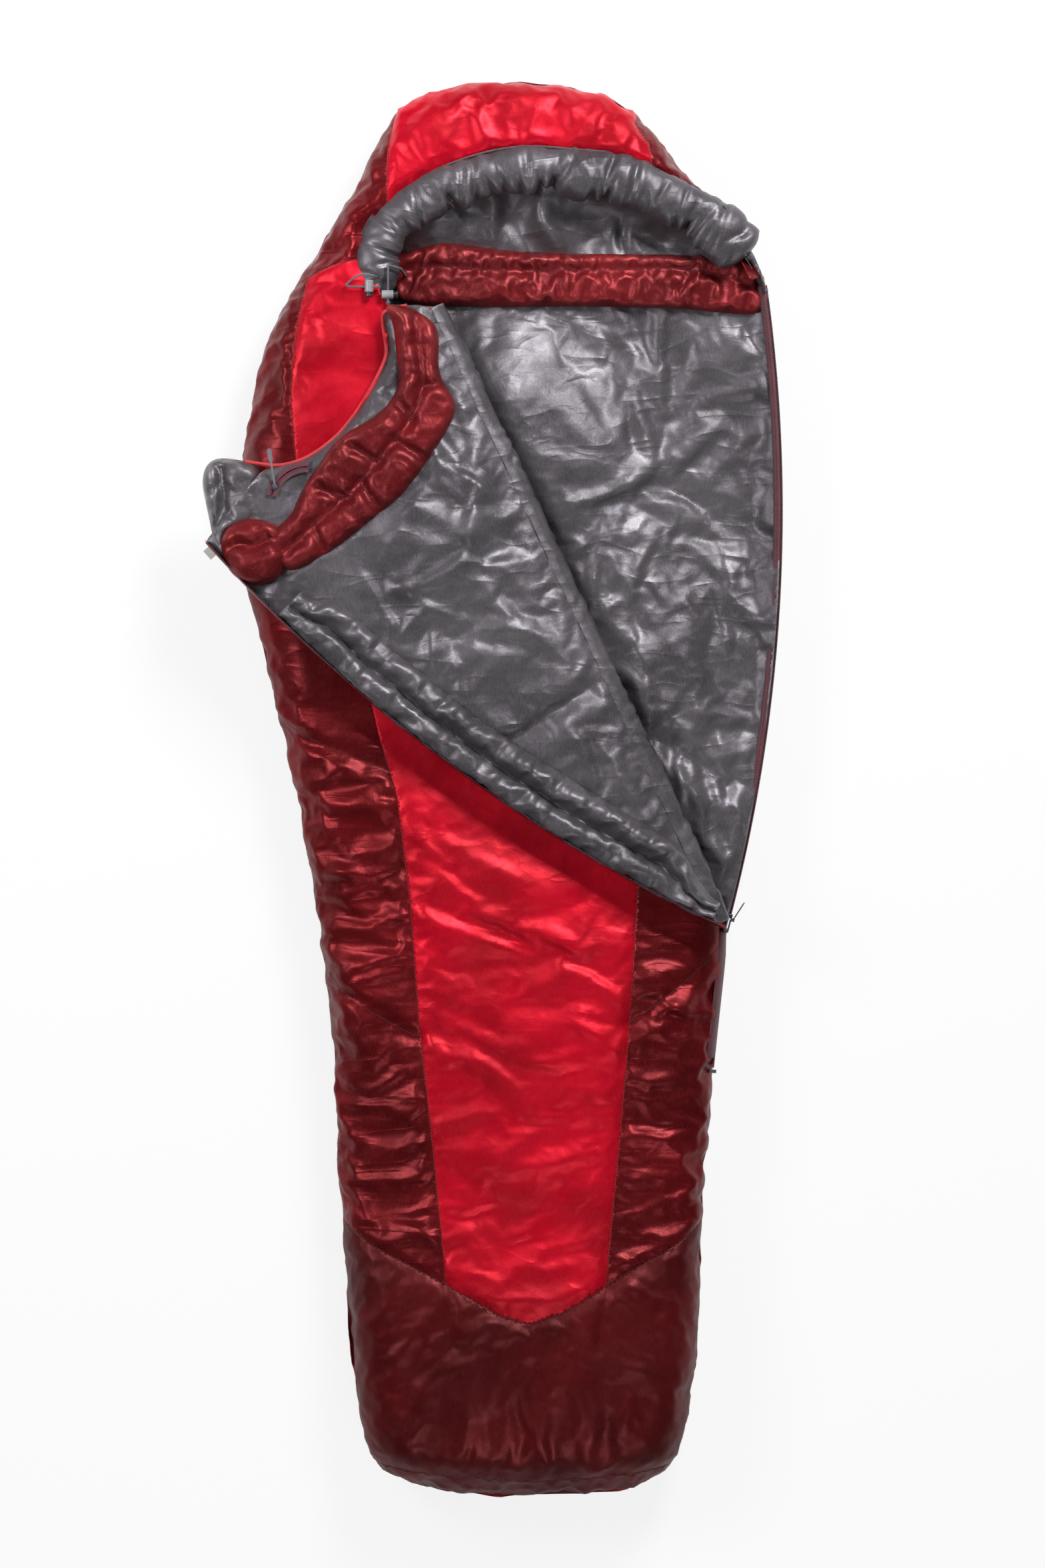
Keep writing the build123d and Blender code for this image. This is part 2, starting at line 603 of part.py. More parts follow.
with BuildPart() as hood_cord_lock:
    with BuildSketch(HOOD_LOCK.offset(-8.0)):
        Circle(LOCK_R)
    extrude(amount=17.5)
    fillet(hood_cord_lock.edges().filter_by(GeomType.CIRCLE), 1.0)
    with BuildSketch(HOOD_LOCK.offset(-8.0)):
        Circle(LOCK_BORE)
    extrude(amount=16.0, mode=Mode.SUBTRACT)
    with BuildSketch(Plane.YZ.offset(HOOD_LOCK.origin.X - 10.0)):
        with Locations((HOOD_LOCK.origin.Y, LOCK_Z)):
            Circle(LOCK_HOLE)
    extrude(amount=20.0, mode=Mode.SUBTRACT)
hood_cord_lock.part.label = "hood_cord_lock"
export_step(hood_cord_lock.part, "parts/hood_cord_lock.step")

with BuildPart() as hood_lock_button:
    with BuildSketch(HOOD_LOCK.offset(-15.0)):
        Circle(LOCK_R - 0.7)
    extrude(amount=3.4)
    fillet(hood_lock_button.edges().sort_by(Axis.Y)[0], 1.2)
    with BuildSketch(HOOD_LOCK.offset(-11.6)):
        Circle(LOCK_BORE - 0.1)
    extrude(amount=14.6)
    with BuildSketch(Plane.YZ.offset(HOOD_LOCK.origin.X - 10.0)):
        with Locations((HOOD_LOCK.origin.Y - PRESS / 2, LOCK_Z)):
            SlotOverall(PRESS + 2 * LOCK_HOLE, 2 * LOCK_HOLE)
    extrude(amount=20.0, mode=Mode.SUBTRACT)
hood_lock_button.part.label = "hood_lock_button"
export_step(hood_lock_button.part, "parts/hood_lock_button.step")

with BuildPart() as hood_lock_spring:
    with BuildLine():
        hood_coil = Helix(pitch=1.2, height=3.6, radius=3.2,
                          center=(-228.0, 743.7, LOCK_Z), direction=(0, 1, 0))
    with BuildSketch(Plane(origin=hood_coil @ 0, z_dir=hood_coil % 0)):
        Circle(0.3)
    sweep(path=hood_coil, is_frenet=True)
hood_lock_spring.part.label = "hood_lock_spring"
export_step(hood_lock_spring.part, "parts/hood_lock_spring.step")

with BuildPart() as collar_cord_lock:
    with BuildSketch(COLLAR_LOCK.offset(-8.0)):
        Circle(LOCK_R)
    extrude(amount=17.5)
    fillet(collar_cord_lock.edges().filter_by(GeomType.CIRCLE), 1.0)
    with BuildSketch(COLLAR_LOCK.offset(-8.0)):
        Circle(LOCK_BORE)
    extrude(amount=16.0, mode=Mode.SUBTRACT)
    with BuildSketch(Plane.XZ.offset(-COLLAR_LOCK.origin.Y - 10.0)):
        with Locations((COLLAR_LOCK.origin.X, LOCK_Z)):
            Circle(LOCK_HOLE)
    extrude(amount=20.0, mode=Mode.SUBTRACT)
collar_cord_lock.part.label = "collar_cord_lock"
export_step(collar_cord_lock.part, "parts/collar_cord_lock.step")

with BuildPart() as collar_lock_button:
    with BuildSketch(COLLAR_LOCK.offset(-15.0)):
        Circle(LOCK_R - 0.7)
    extrude(amount=3.4)
    fillet(collar_lock_button.edges().sort_by(Axis.X)[-1], 1.2)
    with BuildSketch(COLLAR_LOCK.offset(-11.6)):
        Circle(LOCK_BORE - 0.1)
    extrude(amount=14.6)
    with BuildSketch(Plane.XZ.offset(-COLLAR_LOCK.origin.Y - 10.0)):
        with Locations((COLLAR_LOCK.origin.X + PRESS / 2, LOCK_Z)):
            SlotOverall(PRESS + 2 * LOCK_HOLE, 2 * LOCK_HOLE)
    extrude(amount=20.0, mode=Mode.SUBTRACT)
collar_lock_button.part.label = "collar_lock_button"
export_step(collar_lock_button.part, "parts/collar_lock_button.step")

with BuildPart() as collar_lock_spring:
    with BuildLine():
        collar_coil = Helix(pitch=1.2, height=3.6, radius=3.2,
                            center=(-203.7, 728.5, LOCK_Z),
                            direction=(-1, 0, 0))
    with BuildSketch(Plane(origin=collar_coil @ 0, z_dir=collar_coil % 0)):
        Circle(0.3)
    sweep(path=collar_coil, is_frenet=True)
collar_lock_spring.part.label = "collar_lock_spring"
export_step(collar_lock_spring.part, "parts/collar_lock_spring.step")

# ------------------------------------------------------------------ side zip
with BuildPart() as zip_tape_back:
    with BuildSketch(Plane.XY.offset(ZIP_Z - COIL_GAP - COIL_D - TAPE_D)):
        with BuildLine():
            tape_out = CenterArc(ZIP_C, ZIP_R + 0.4, -15.15, 23.25)
            tape_in = CenterArc(ZIP_C, ZIP_R - 0.4, -15.15, 23.25)
            Line(tape_out @ 0, tape_in @ 0)
            Line(tape_out @ 1, tape_in @ 1)
        make_face()
    extrude(amount=TAPE_D)
zip_tape_back.part.label = "zip_tape_back"
export_step(zip_tape_back.part, "parts/zip_tape_back.step")

with BuildPart() as zip_coil_back:
    with BuildSketch(Plane.XY.offset(ZIP_Z - COIL_GAP - COIL_D)):
        with BuildLine():
            coil_out = CenterArc(ZIP_C, ZIP_R + COIL_W, -15.15, 22.85)
            coil_in = CenterArc(ZIP_C, ZIP_R - COIL_W, -15.15, 22.85)
            Line(coil_out @ 0, coil_in @ 0)
            Line(coil_out @ 1, coil_in @ 1)
        make_face()
    extrude(amount=COIL_D)
zip_coil_back.part.label = "zip_coil_back"
export_step(zip_coil_back.part, "parts/zip_coil_back.step")

with BuildPart() as zip_tape_lower:
    # Both tapes of the closed run below the slider.
    with BuildSketch(Plane.XY.offset(ZIP_Z - COIL_GAP - COIL_D - TAPE_D)):
        with BuildLine():
            Polyline(*ZIP_BELOW)
        trace(line_width=0.8)
    extrude(amount=TAPE_D)
    with BuildSketch(Plane.XY.offset(ZIP_Z + COIL_GAP + COIL_D)):
        with BuildLine():
            Polyline(on_zip(-15.0), *ZIP_BELOW)
        trace(line_width=0.8)
    extrude(amount=TAPE_D)
    with BuildSketch(Plane.XY):
        with BuildLine():
            Polyline(*OPENING, close=True)
        make_face()
    extrude(amount=200.0, mode=Mode.SUBTRACT)
zip_tape_lower.part.label = "zip_tape_lower"
export_step(zip_tape_lower.part, "parts/zip_tape_lower.step")

with BuildPart() as zip_coil_lower:
    # The meshed coils below the slider; the upper one starts in the slider.
    with BuildSketch(Plane.XY.offset(ZIP_Z - COIL_GAP - COIL_D)):
        with BuildLine():
            Polyline(*ZIP_BELOW)
        trace(line_width=2 * COIL_W)
    extrude(amount=COIL_D)
    with BuildSketch(Plane.XY.offset(ZIP_Z + COIL_GAP)):
        with BuildLine():
            Polyline(on_zip(-15.0), *ZIP_BELOW)
        trace(line_width=2 * COIL_W)
    extrude(amount=COIL_D)
    with BuildSketch(Plane.XY):
        with BuildLine():
            Polyline(*OPENING, close=True)
        make_face()
    extrude(amount=200.0, mode=Mode.SUBTRACT)
zip_coil_lower.part.label = "zip_coil_lower"
export_step(zip_coil_lower.part, "parts/zip_coil_lower.step")

with BuildPart() as zip_bottom_stop:
    with BuildSketch(Plane(origin=(280.6, -415.2, ZIP_Z), z_dir=(0, -1, 0))):
        Rectangle(4.4, 9.0)
    extrude(amount=5.0)
zip_bottom_stop.part.label = "zip_bottom_stop"
export_step(zip_bottom_stop.part, "parts/zip_bottom_stop.step")

with BuildPart() as zip_top_stop:
    with BuildSketch(Plane.XY.offset(ZIP_Z - COIL_GAP - COIL_D)):
        with BuildLine():
            stop_out = CenterArc(ZIP_C, ZIP_R + 1.9, 7.78, 0.09)
            stop_in = CenterArc(ZIP_C, ZIP_R - 1.9, 7.78, 0.09)
            Line(stop_out @ 0, stop_in @ 0)
            Line(stop_out @ 1, stop_in @ 1)
        make_face()
    extrude(amount=COIL_D + 0.8)
zip_top_stop.part.label = "zip_top_stop"
export_step(zip_top_stop.part, "parts/zip_top_stop.step")

with BuildPart() as anti_snag_strip:
    # Stiff webbing beside the back zip tape that keeps fabric out of it.
    with BuildSketch(Plane.XY.offset(BACK_TOP + 0.4)):
        with BuildLine():
            snag_out = CenterArc(ZIP_C, ZIP_R - 4.6, -14.6, 22.2)
            snag_in = CenterArc(ZIP_C, ZIP_R - 6.0, -14.6, 22.2)
            Line(snag_out @ 0, snag_in @ 0)
            Line(snag_out @ 1, snag_in @ 1)
        make_face()
    extrude(amount=22.0)
anti_snag_strip.part.label = "anti_snag_strip"
export_step(anti_snag_strip.part, "parts/anti_snag_strip.step")

_t = math.radians(ZIP_LOW)
SLIDER = Plane(
    origin=(*on_zip(ZIP_LOW), ZIP_Z),
    x_dir=(-math.sin(_t), math.cos(_t), 0),
    z_dir=(math.cos(_t), math.sin(_t), 0),
)  # x along the zip to the top stop, y = -Z up side down, z outwards

with BuildPart() as zip_slider:
    # Two plates joined by a bridge at the upper end, with turned-in flanges
    # and a lug on the outside for the pull.
    with BuildSketch(SLIDER.offset(2.0)):
        with BuildLine():
            Polyline((-14.0, -5.4), (-2.0, -6.4), (8.0, -8.0), (14.0, -8.0),
                     (14.0, 8.0), (8.0, 8.0), (-2.0, 6.4), (-14.0, 5.4),
                     close=True)
        make_face()
    extrude(amount=1.2)
    with BuildSketch(SLIDER.offset(-3.2)):
        with BuildLine():
            Polyline((-14.0, -5.4), (-2.0, -6.4), (8.0, -8.0), (14.0, -8.0),
                     (14.0, 8.0), (8.0, 8.0), (-2.0, 6.4), (-14.0, 5.4),
                     close=True)
        make_face()
    extrude(amount=1.2)
    with BuildSketch(SLIDER.offset(-2.4)):
        with Locations((11.0, 0.0)):
            SlotOverall(6.0, 2.2)
    extrude(amount=4.8)
    for low in (-2.1, 0.95):
        with BuildSketch(SLIDER.offset(low)):
            with Locations((-4.0, 4.9), (-4.0, -4.9)):
                Rectangle(20.0, 0.8)
        extrude(amount=1.15)
    with BuildSketch(SLIDER.offset(3.2)):
        with Locations((6.0, 0.0)):
            Rectangle(5.0, 4.4)
    extrude(amount=4.6)
    with BuildSketch(Plane.XY.offset(ZIP_Z - 10.0)):
        with Locations(on_zip(ZIP_LOW + math.degrees(6.0 / ZIP_R), 5.6)):
            Circle(1.5)
    extrude(amount=20.0, mode=Mode.SUBTRACT)
zip_slider.part.label = "zip_slider"
export_step(zip_slider.part, "parts/zip_slider.step")

PULL_AT = on_zip(ZIP_LOW + math.degrees(6.0 / ZIP_R), 5.6)
PULL_DIR = 57.0  # direction the pull points at rest, degrees from +X
with BuildPart() as zip_pull:
    # Pin through the lug, wire stirrup either side of it, and a flat tab.
    with BuildSketch(Plane.XY.offset(ZIP_Z - 4.2)):
        with Locations(PULL_AT):
            Circle(1.3)
    extrude(amount=8.4)
    _p = Plane(origin=(*PULL_AT, ZIP_Z),
               x_dir=(math.cos(math.radians(PULL_DIR)),
                      math.sin(math.radians(PULL_DIR)), 0),
               z_dir=(math.sin(math.radians(PULL_DIR)),
                      -math.cos(math.radians(PULL_DIR)), 0))
    with BuildSketch(_p.offset(-0.8)):
        with Locations((4.0, 3.4), (4.0, -3.4)):
            Rectangle(10.0, 1.6)
        with Locations((19.0, 0.0)):
            SlotOverall(24.0, 8.4)
    extrude(amount=1.6)
    with BuildSketch(_p.offset(-5.0)):
        with Locations((26.0, 0.0)):
            Circle(1.6)
    extrude(amount=10.0, mode=Mode.SUBTRACT)
zip_pull.part.label = "zip_pull"
export_step(zip_pull.part, "parts/zip_pull.step")

# ----------------------------------------------------------- folded corner
FLAP_ARC = FLAP_TOP - FLAP_LOW  # sweep of its zip edge

with BuildPart() as flap_tray:
    # Shell of the corner before it is cut into panels: a sheet with a side
    # strip that runs down to the zip tape.
    with BuildSketch(FOLDED.offset(FRONT_TOP - FABRIC)):
        with BuildLine():
            edge = CenterArc(ZIP_C, ZIP_R + EDGE, FLAP_LOW, FLAP_ARC)
            Line(edge @ 0, on_fold(-16.0, 0.8))
            Polyline(on_fold(-16.0, 0.8), *FLAP_NECK, edge @ 1)
        make_face()
    extrude(amount=FABRIC)
    with BuildSketch(FOLDED.offset(ZIP_Z + 16.0)):
        with BuildLine():
            strip_out = CenterArc(ZIP_C, ZIP_R + EDGE, FLAP_LOW, FLAP_ARC)
            strip_in = CenterArc(ZIP_C, ZIP_R + 0.5, FLAP_LOW, FLAP_ARC)
            Line(strip_out @ 0, strip_in @ 0)
            Line(strip_out @ 1, strip_in @ 1)
        make_face()
    extrude(amount=FRONT_TOP - FABRIC - ZIP_Z - 16.0)

with BuildPart() as flap_side_panel:
    add(flap_tray.part)
    with BuildSketch(FOLDED):
        with BuildLine():
            Polyline(*SEAM_RIGHT[:6], (171.0, -400.0), (520.0, -400.0),
                     (520.0, 800.0), close=True)
        make_face()
    extrude(amount=200.0, mode=Mode.INTERSECT)
flap_side_panel.part.label = "flap_side_panel"
export_step(flap_side_panel.part, "parts/flap_side_panel.step")

with BuildPart() as flap_center_panel:
    add(flap_tray.part)
    with BuildSketch(FOLDED):
        with BuildLine():
            Polyline(*SEAM_RIGHT[:6], (171.0, -400.0), (520.0, -400.0),
                     (520.0, 800.0), close=True)
        make_face()
    extrude(amount=200.0, mode=Mode.SUBTRACT)
flap_center_panel.part.label = "flap_center_panel"
export_step(flap_center_panel.part, "parts/flap_center_panel.step")

with BuildPart() as flap_insulation:
    with BuildSketch(FOLDED.offset(FRONT_LOW + 2.6)):
        with BuildLine():
            fill = CenterArc(ZIP_C, ZIP_R - 0.9, FLAP_LOW + 0.08,
                             FLAP_ARC - 0.12)
            Line(fill @ 0, on_fold(-8.0, 1.6))
            Polyline(on_fold(-8.0, 1.6), *FLAP_NECK, fill @ 1)
        make_face()
    extrude(amount=FRONT_TOP - FRONT_LOW - 2.6 - FABRIC)
flap_insulation.part.label = "flap_insulation"
export_step(flap_insulation.part, "parts/flap_insulation.step")

with BuildPart() as flap_liner:
    with BuildSketch(FOLDED.offset(FRONT_LOW)):
        with BuildLine():
            lining = CenterArc(ZIP_C, ZIP_R - 3.8, FLAP_LOW + 0.08,
                               FLAP_ARC - 0.12)
            Line(lining @ 0, on_fold(-8.0, 1.6))
            Polyline(on_fold(-8.0, 1.6), *FLAP_NECK, lining @ 1)
        make_face()
    extrude(amount=FABRIC)
flap_liner.part.label = "flap_liner"
export_step(flap_liner.part, "parts/flap_liner.step")

with BuildPart() as flap_zip_tape:
    with BuildSketch(FOLDED.offset(ZIP_Z + COIL_GAP + COIL_D)):
        with BuildLine():
            ftape_out = CenterArc(ZIP_C, ZIP_R + 0.4, FLAP_LOW, FLAP_ARC)
            ftape_in = CenterArc(ZIP_C, ZIP_R - 0.4, FLAP_LOW, FLAP_ARC)
            Line(ftape_out @ 0, ftape_in @ 0)
            Line(ftape_out @ 1, ftape_in @ 1)
        make_face()
    extrude(amount=TAPE_D)
flap_zip_tape.part.label = "flap_zip_tape"
export_step(flap_zip_tape.part, "parts/flap_zip_tape.step")

with BuildPart() as flap_zip_coil:
    with BuildSketch(FOLDED.offset(ZIP_Z + COIL_GAP)):
        with BuildLine():
            fcoil_out = CenterArc(ZIP_C, ZIP_R + COIL_W, FLAP_LOW, 22.62)
            fcoil_in = CenterArc(ZIP_C, ZIP_R - COIL_W, FLAP_LOW, 22.62)
            Line(fcoil_out @ 0, fcoil_in @ 0)
            Line(fcoil_out @ 1, fcoil_in @ 1)
        make_face()
    extrude(amount=COIL_D)
flap_zip_coil.part.label = "flap_zip_coil"
export_step(flap_zip_coil.part, "parts/flap_zip_coil.step")

with BuildPart() as flap_draft_tube:
    # Filled tube that lies behind the closed zip.
    with BuildSketch(FOLDED.offset(FRONT_LOW - 20.4)):
        with BuildLine():
            tube_out = CenterArc(ZIP_C, ZIP_R - 7.0, -10.2, 16.9)
            tube_in = CenterArc(ZIP_C, ZIP_R - 43.0, -10.2, 16.9)
            Line(tube_out @ 0, tube_in @ 0)
            Line(tube_out @ 1, tube_in @ 1)
        make_face()
    extrude(amount=20.0)
    fillet(flap_draft_tube.faces().sort_by(Axis.Z)[-1].edges(), 8.0)
flap_draft_tube.part.label = "flap_draft_tube"
export_step(flap_draft_tube.part, "parts/flap_draft_tube.step")

with BuildPart() as flap_collar:
    with BuildSketch(FOLDED.offset(FRONT_LOW - 19.0)):
        with BuildLine():
            Polyline(*FLAP_COLLAR, close=True)
        make_face()
    extrude(amount=18.6)
flap_collar.part.label = "flap_collar"
export_step(flap_collar.part, "parts/flap_collar.step")

with BuildPart() as flap_neck_piping:
    with BuildSketch(FOLDED.offset(FRONT_LOW + 2.6)):
        with BuildLine():
            Polyline(*FLAP_NECK[2:])
        trace(line_width=9.0)
    extrude(amount=4.0)
    add(flap_insulation.part, mode=Mode.SUBTRACT)
flap_neck_piping.part.label = "flap_neck_piping"
export_step(flap_neck_piping.part, "parts/flap_neck_piping.step")

with BuildPart() as flap_neck_lip:
    # Padded lip at the corner that laps over the hood when closed.
    with BuildSketch(Plane.XY.offset(118.0)):
        with BuildLine():
            Polyline((-429.5, 486.0), (-446.4, 488.8), (-460.2, 486.8),
                     (-471.1, 475.0), (-474.0, 459.2), (-469.5, 430.0),
                     (-467.5, 404.0), (-429.5, 404.0), close=True)
        make_face()
    extrude(amount=2 * FOLD_H - FRONT_TOP - 118.0)
flap_neck_lip.part.label = "flap_neck_lip"
export_step(flap_neck_lip.part, "parts/flap_neck_lip.step")

with BuildPart() as closure_tab:
    # Hook-and-loop tab at the end of the zip.
    with BuildSketch(FOLDED.offset(110.0)):
        with BuildLine():
            tab_out = CenterArc(ZIP_C, ZIP_R + 13.0, 7.45, 0.40)
            tab_in = CenterArc(ZIP_C, ZIP_R + EDGE, 7.45, 0.40)
            Line(tab_out @ 0, tab_in @ 0)
            Line(tab_out @ 1, tab_in @ 1)
        make_face()
    extrude(amount=1.6)
closure_tab.part.label = "closure_tab"
export_step(closure_tab.part, "parts/closure_tab.step")

# -------------------------------------------------- pocket inside the corner
POCKET_C = (-317.06, 418.76)  # centre of the pocket zip's curve
POCKET_R = 54.0  # its radius
POCKET_LOW = 152.0  # slider at rest, degrees
POCKET_END = 88.0  # far end of the pocket zip, degrees
LINER_Z = 2 * FOLD_H - FRONT_LOW  # liner face of the folded corner

with BuildPart() as pocket_bag:
    with BuildSketch(FOLDED.offset(FRONT_LOW + FABRIC + 0.1)):
        with BuildLine():
            Polyline((120.0, 715.0), (175.0, 735.0), (240.0, 720.0),
                     (240.0, 560.0), (120.0, 560.0), close=True)
        make_face()
    extrude(amount=1.2)
pocket_bag.part.label = "pocket_bag"
export_step(pocket_bag.part, "parts/pocket_bag.step")

with BuildPart() as pocket_zip_tape:
    # Two tapes standing just clear of the liner on turned-down edges.
    for r0, r1, z0, z1 in ((2.7, 8.0, 3.0, 3.6), (7.2, 8.0, 0.0, 3.6),
                           (-8.0, -2.7, 3.0, 3.6), (-8.0, -7.2, 0.0, 3.6)):
        with BuildSketch(Plane.XY.offset(LINER_Z + z0)):
            with BuildLine():
                pt_out = CenterArc(POCKET_C, POCKET_R + r1, POCKET_END,
                                   POCKET_LOW - POCKET_END + 16.0)
                pt_in = CenterArc(POCKET_C, POCKET_R + r0, POCKET_END,
                                  POCKET_LOW - POCKET_END + 16.0)
                Line(pt_out @ 0, pt_in @ 0)
                Line(pt_out @ 1, pt_in @ 1)
            make_face()
        extrude(amount=z1 - z0)
pocket_zip_tape.part.label = "pocket_zip_tape"
export_step(pocket_zip_tape.part, "parts/pocket_zip_tape.step")

with BuildPart() as pocket_zip_coil:
    for r0, r1 in ((0.9, 2.7), (-2.7, -0.9)):
        with BuildSketch(Plane.XY.offset(LINER_Z + 2.3)):
            with BuildLine():
                pc_out = CenterArc(POCKET_C, POCKET_R + r1, POCKET_END,
                                   POCKET_LOW - POCKET_END + 16.0)
                pc_in = CenterArc(POCKET_C, POCKET_R + r0, POCKET_END,
                                  POCKET_LOW - POCKET_END + 16.0)
                Line(pc_out @ 0, pc_in @ 0)
                Line(pc_out @ 1, pc_in @ 1)
            make_face()
        extrude(amount=2.0)
pocket_zip_coil.part.label = "pocket_zip_coil"
export_step(pocket_zip_coil.part, "parts/pocket_zip_coil.step")

_q = math.radians(POCKET_LOW)
_px = POCKET_C[0] + POCKET_R * math.cos(_q)
_py = POCKET_C[1] + POCKET_R * math.sin(_q)
POCKET_SLIDER = Plane(origin=(_px, _py, LINER_Z),
                      x_dir=(-math.sin(_q), math.cos(_q), 0),
                      z_dir=(0, 0, 1))
with BuildPart() as pocket_slider:
    with BuildSketch(POCKET_SLIDER.offset(0.5)):
        RectangleRounded(11.0, 7.6, 2.0)
    extrude(amount=1.2)
    with BuildSketch(POCKET_SLIDER.offset(4.7)):
        RectangleRounded(11.0, 7.6, 2.0)
    extrude(amount=1.2)
    with BuildSketch(POCKET_SLIDER.offset(1.2)):
        with Locations((4.0, 0.0)):
            Rectangle(2.0, 1.2)
    extrude(amount=4.0)
    with BuildSketch(POCKET_SLIDER.offset(5.9)):
        Circle(1.5)
    extrude(amount=4.2)
    with BuildSketch(POCKET_SLIDER.offset(10.0)):
        Circle(2.6)
    extrude(amount=1.0)
pocket_slider.part.label = "pocket_slider"
export_step(pocket_slider.part, "parts/pocket_slider.step")

POCKET_PULL_DIR = 99.0  # direction the cord points at rest, degrees from +X
_c = math.radians(POCKET_PULL_DIR)
POCKET_PULL = Plane(origin=(_px, _py, LINER_Z + 6.3),
                    x_dir=(math.cos(_c), math.sin(_c), 0), z_dir=(0, 0, 1))
with BuildPart() as pocket_pull_cord:
    # Eye round the slider's post, doubled cord and a moulded end.
    with BuildSketch(POCKET_PULL):
        Circle(3.6)
        Circle(1.8, mode=Mode.SUBTRACT)
        with Locations((22.5, 0.0)):
            Rectangle(39.0, 3.0)
        with Locations((46.0, 0.0)):
            SlotOverall(20.0, 6.0)
    extrude(amount=3.0)
pocket_pull_cord.part.label = "pocket_pull_cord"
export_step(pocket_pull_cord.part, "parts/pocket_pull_cord.step")
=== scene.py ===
import math
import random

import bpy
import numpy as np
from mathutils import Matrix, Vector
from mathutils.geometry import delaunay_2d_cdt


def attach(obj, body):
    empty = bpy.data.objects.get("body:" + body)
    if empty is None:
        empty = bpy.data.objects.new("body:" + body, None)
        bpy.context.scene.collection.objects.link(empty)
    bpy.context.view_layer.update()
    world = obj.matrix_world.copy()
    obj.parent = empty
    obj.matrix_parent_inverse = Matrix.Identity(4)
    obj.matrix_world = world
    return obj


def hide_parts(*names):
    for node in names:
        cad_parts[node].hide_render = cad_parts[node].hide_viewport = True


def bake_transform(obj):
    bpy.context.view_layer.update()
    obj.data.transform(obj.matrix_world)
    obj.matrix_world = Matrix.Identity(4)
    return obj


# Mummy sleeping bag: quilted nylon panels, folded corner, hood and zip, built
# as fabric around the fixed frame. Plan outlines are in millimetres.

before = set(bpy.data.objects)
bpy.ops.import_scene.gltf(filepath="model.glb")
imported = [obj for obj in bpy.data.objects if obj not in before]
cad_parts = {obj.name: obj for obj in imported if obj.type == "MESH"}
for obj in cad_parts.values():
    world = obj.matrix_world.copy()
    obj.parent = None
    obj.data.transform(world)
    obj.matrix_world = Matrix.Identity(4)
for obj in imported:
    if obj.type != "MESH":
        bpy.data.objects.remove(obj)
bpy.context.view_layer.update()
RNG = np.random.default_rng(7)
random.seed(7)

# ---------------------------------------------------------------- dimensions
FOLD_H = 132.0
ZM = 58.0  # height of the side seam
ZIP_C = (-2015.3, 413.9)
ZIP_R = 2397.7
FOLD_A = np.array((290.72, -183.30))
FOLD_B = np.array((-125.16, 709.56))
FU = (FOLD_B - FOLD_A) / np.linalg.norm(FOLD_B - FOLD_A)
FN = np.array((FU[1], -FU[0]))  # towards the zip


def A(points):
    return np.array(points, float)


def on_zip(deg, n=0.0):
    t = np.radians(deg)
    return np.stack([ZIP_C[0] + (ZIP_R + n) * np.cos(t), ZIP_C[1] + (ZIP_R + n) * np.sin(t)], -1)


def on_fold(s, n=0.0):
    return FOLD_A + s * FU + n * FN


def turned(p):
    """Plan position of a closed point once its corner is folded back."""
    p = np.asarray(p, float)
    d = (p - FOLD_A) @ FN
    return p - 2 * d[..., None] * FN


LEFT_SIDE = [
    (-84.8, 1045.6), (-139.9, 1033.8), (-187.2, 1009.2), (-219.8, 959.9),
    (-241.4, 910.6), (-270.0, 861.3), (-298.6, 812.1), (-330.1, 762.8),
    (-359.7, 713.5), (-382.4, 664.2), (-396.2, 615.0), (-406.0, 565.7),
    (-414.9, 516.4), (-421.8, 467.1), (-425.7, 408.0), (-423.8, 339.0),
    (-414.9, 299.6), (-400.2, 255.1), (-384.3, 196.1), (-368.6, 122.2),
    (-351.8, 48.3), (-333.1, -25.6), (-323.2, -99.5), (-312.4, -148.8),
    (-298.6, -247.4), (-291.7, -321.3), (-282.8, -395.2), (-278.9, -469.1),
    (-275.0, -543.0), (-271.0, -616.9), (-267.1, -690.8), (-263.1, -740.1),
    (-255.2, -814.0), (-248.3, -887.9), (-241.4, -937.2), (-237.5, -961.8),
    (-229.6, -986.5), (-208.9, -1011.1), (-153.7, -1035.8), (-84.8, -1046.6),
]
FOOT_AND_RIGHT = [
    (3.9, -1049.6), (92.6, -1046.6), (162.6, -1035.8), (209.9, -1011.1),
    (228.6, -986.5), (237.5, -961.8), (243.4, -937.2), (251.3, -887.9),
    (257.2, -838.7), (263.1, -764.7), (264.1, -690.8), (266.1, -616.9),
    (270.0, -543.0), (277.9, -469.1), (283.8, -395.2), (291.7, -321.3),
    (297.2, -272.0), (299.7, -245.0),
]
HOOD_RIGHT = [
    (345.0, 785.0), (326.2, 812.1), (297.6, 861.3), (269.0, 886.0),
    (244.4, 910.6), (204.0, 959.9), (185.3, 984.5), (162.6, 1009.2),
    (115.3, 1033.8), (53.2, 1045.6), (-15.8, 1050.5),
]
OUTLINE = A(LEFT_SIDE + FOOT_AND_RIGHT + [tuple(on_zip(-15.2 + i * 23.5 / 24, 1.7)) for i in range(25)] + HOOD_RIGHT)
RIM = A([
    (-211.0, 728.0), (-215.8, 757.0), (-216.8, 787.0), (-206.0, 821.9),
    (-180.3, 849.5), (-143.9, 873.2), (-94.6, 895.8), (-40.4, 912.6),
    (13.8, 918.5), (72.9, 912.6), (132.1, 908.6), (176.4, 890.9),
    (220.8, 866.3), (270.0, 841.6), (304.5, 814.0), (328.0, 788.0),
])
OPENING = A([(460.0, 758.0), (340.0, 758.0)] + [tuple(p) for p in RIM[::-1]] + [
    (-196.0, 712.0), tuple(on_fold(985.0, -0.8)), tuple(on_fold(-34.0, -0.8)), (460.0, on_fold(-34.0)[1])])
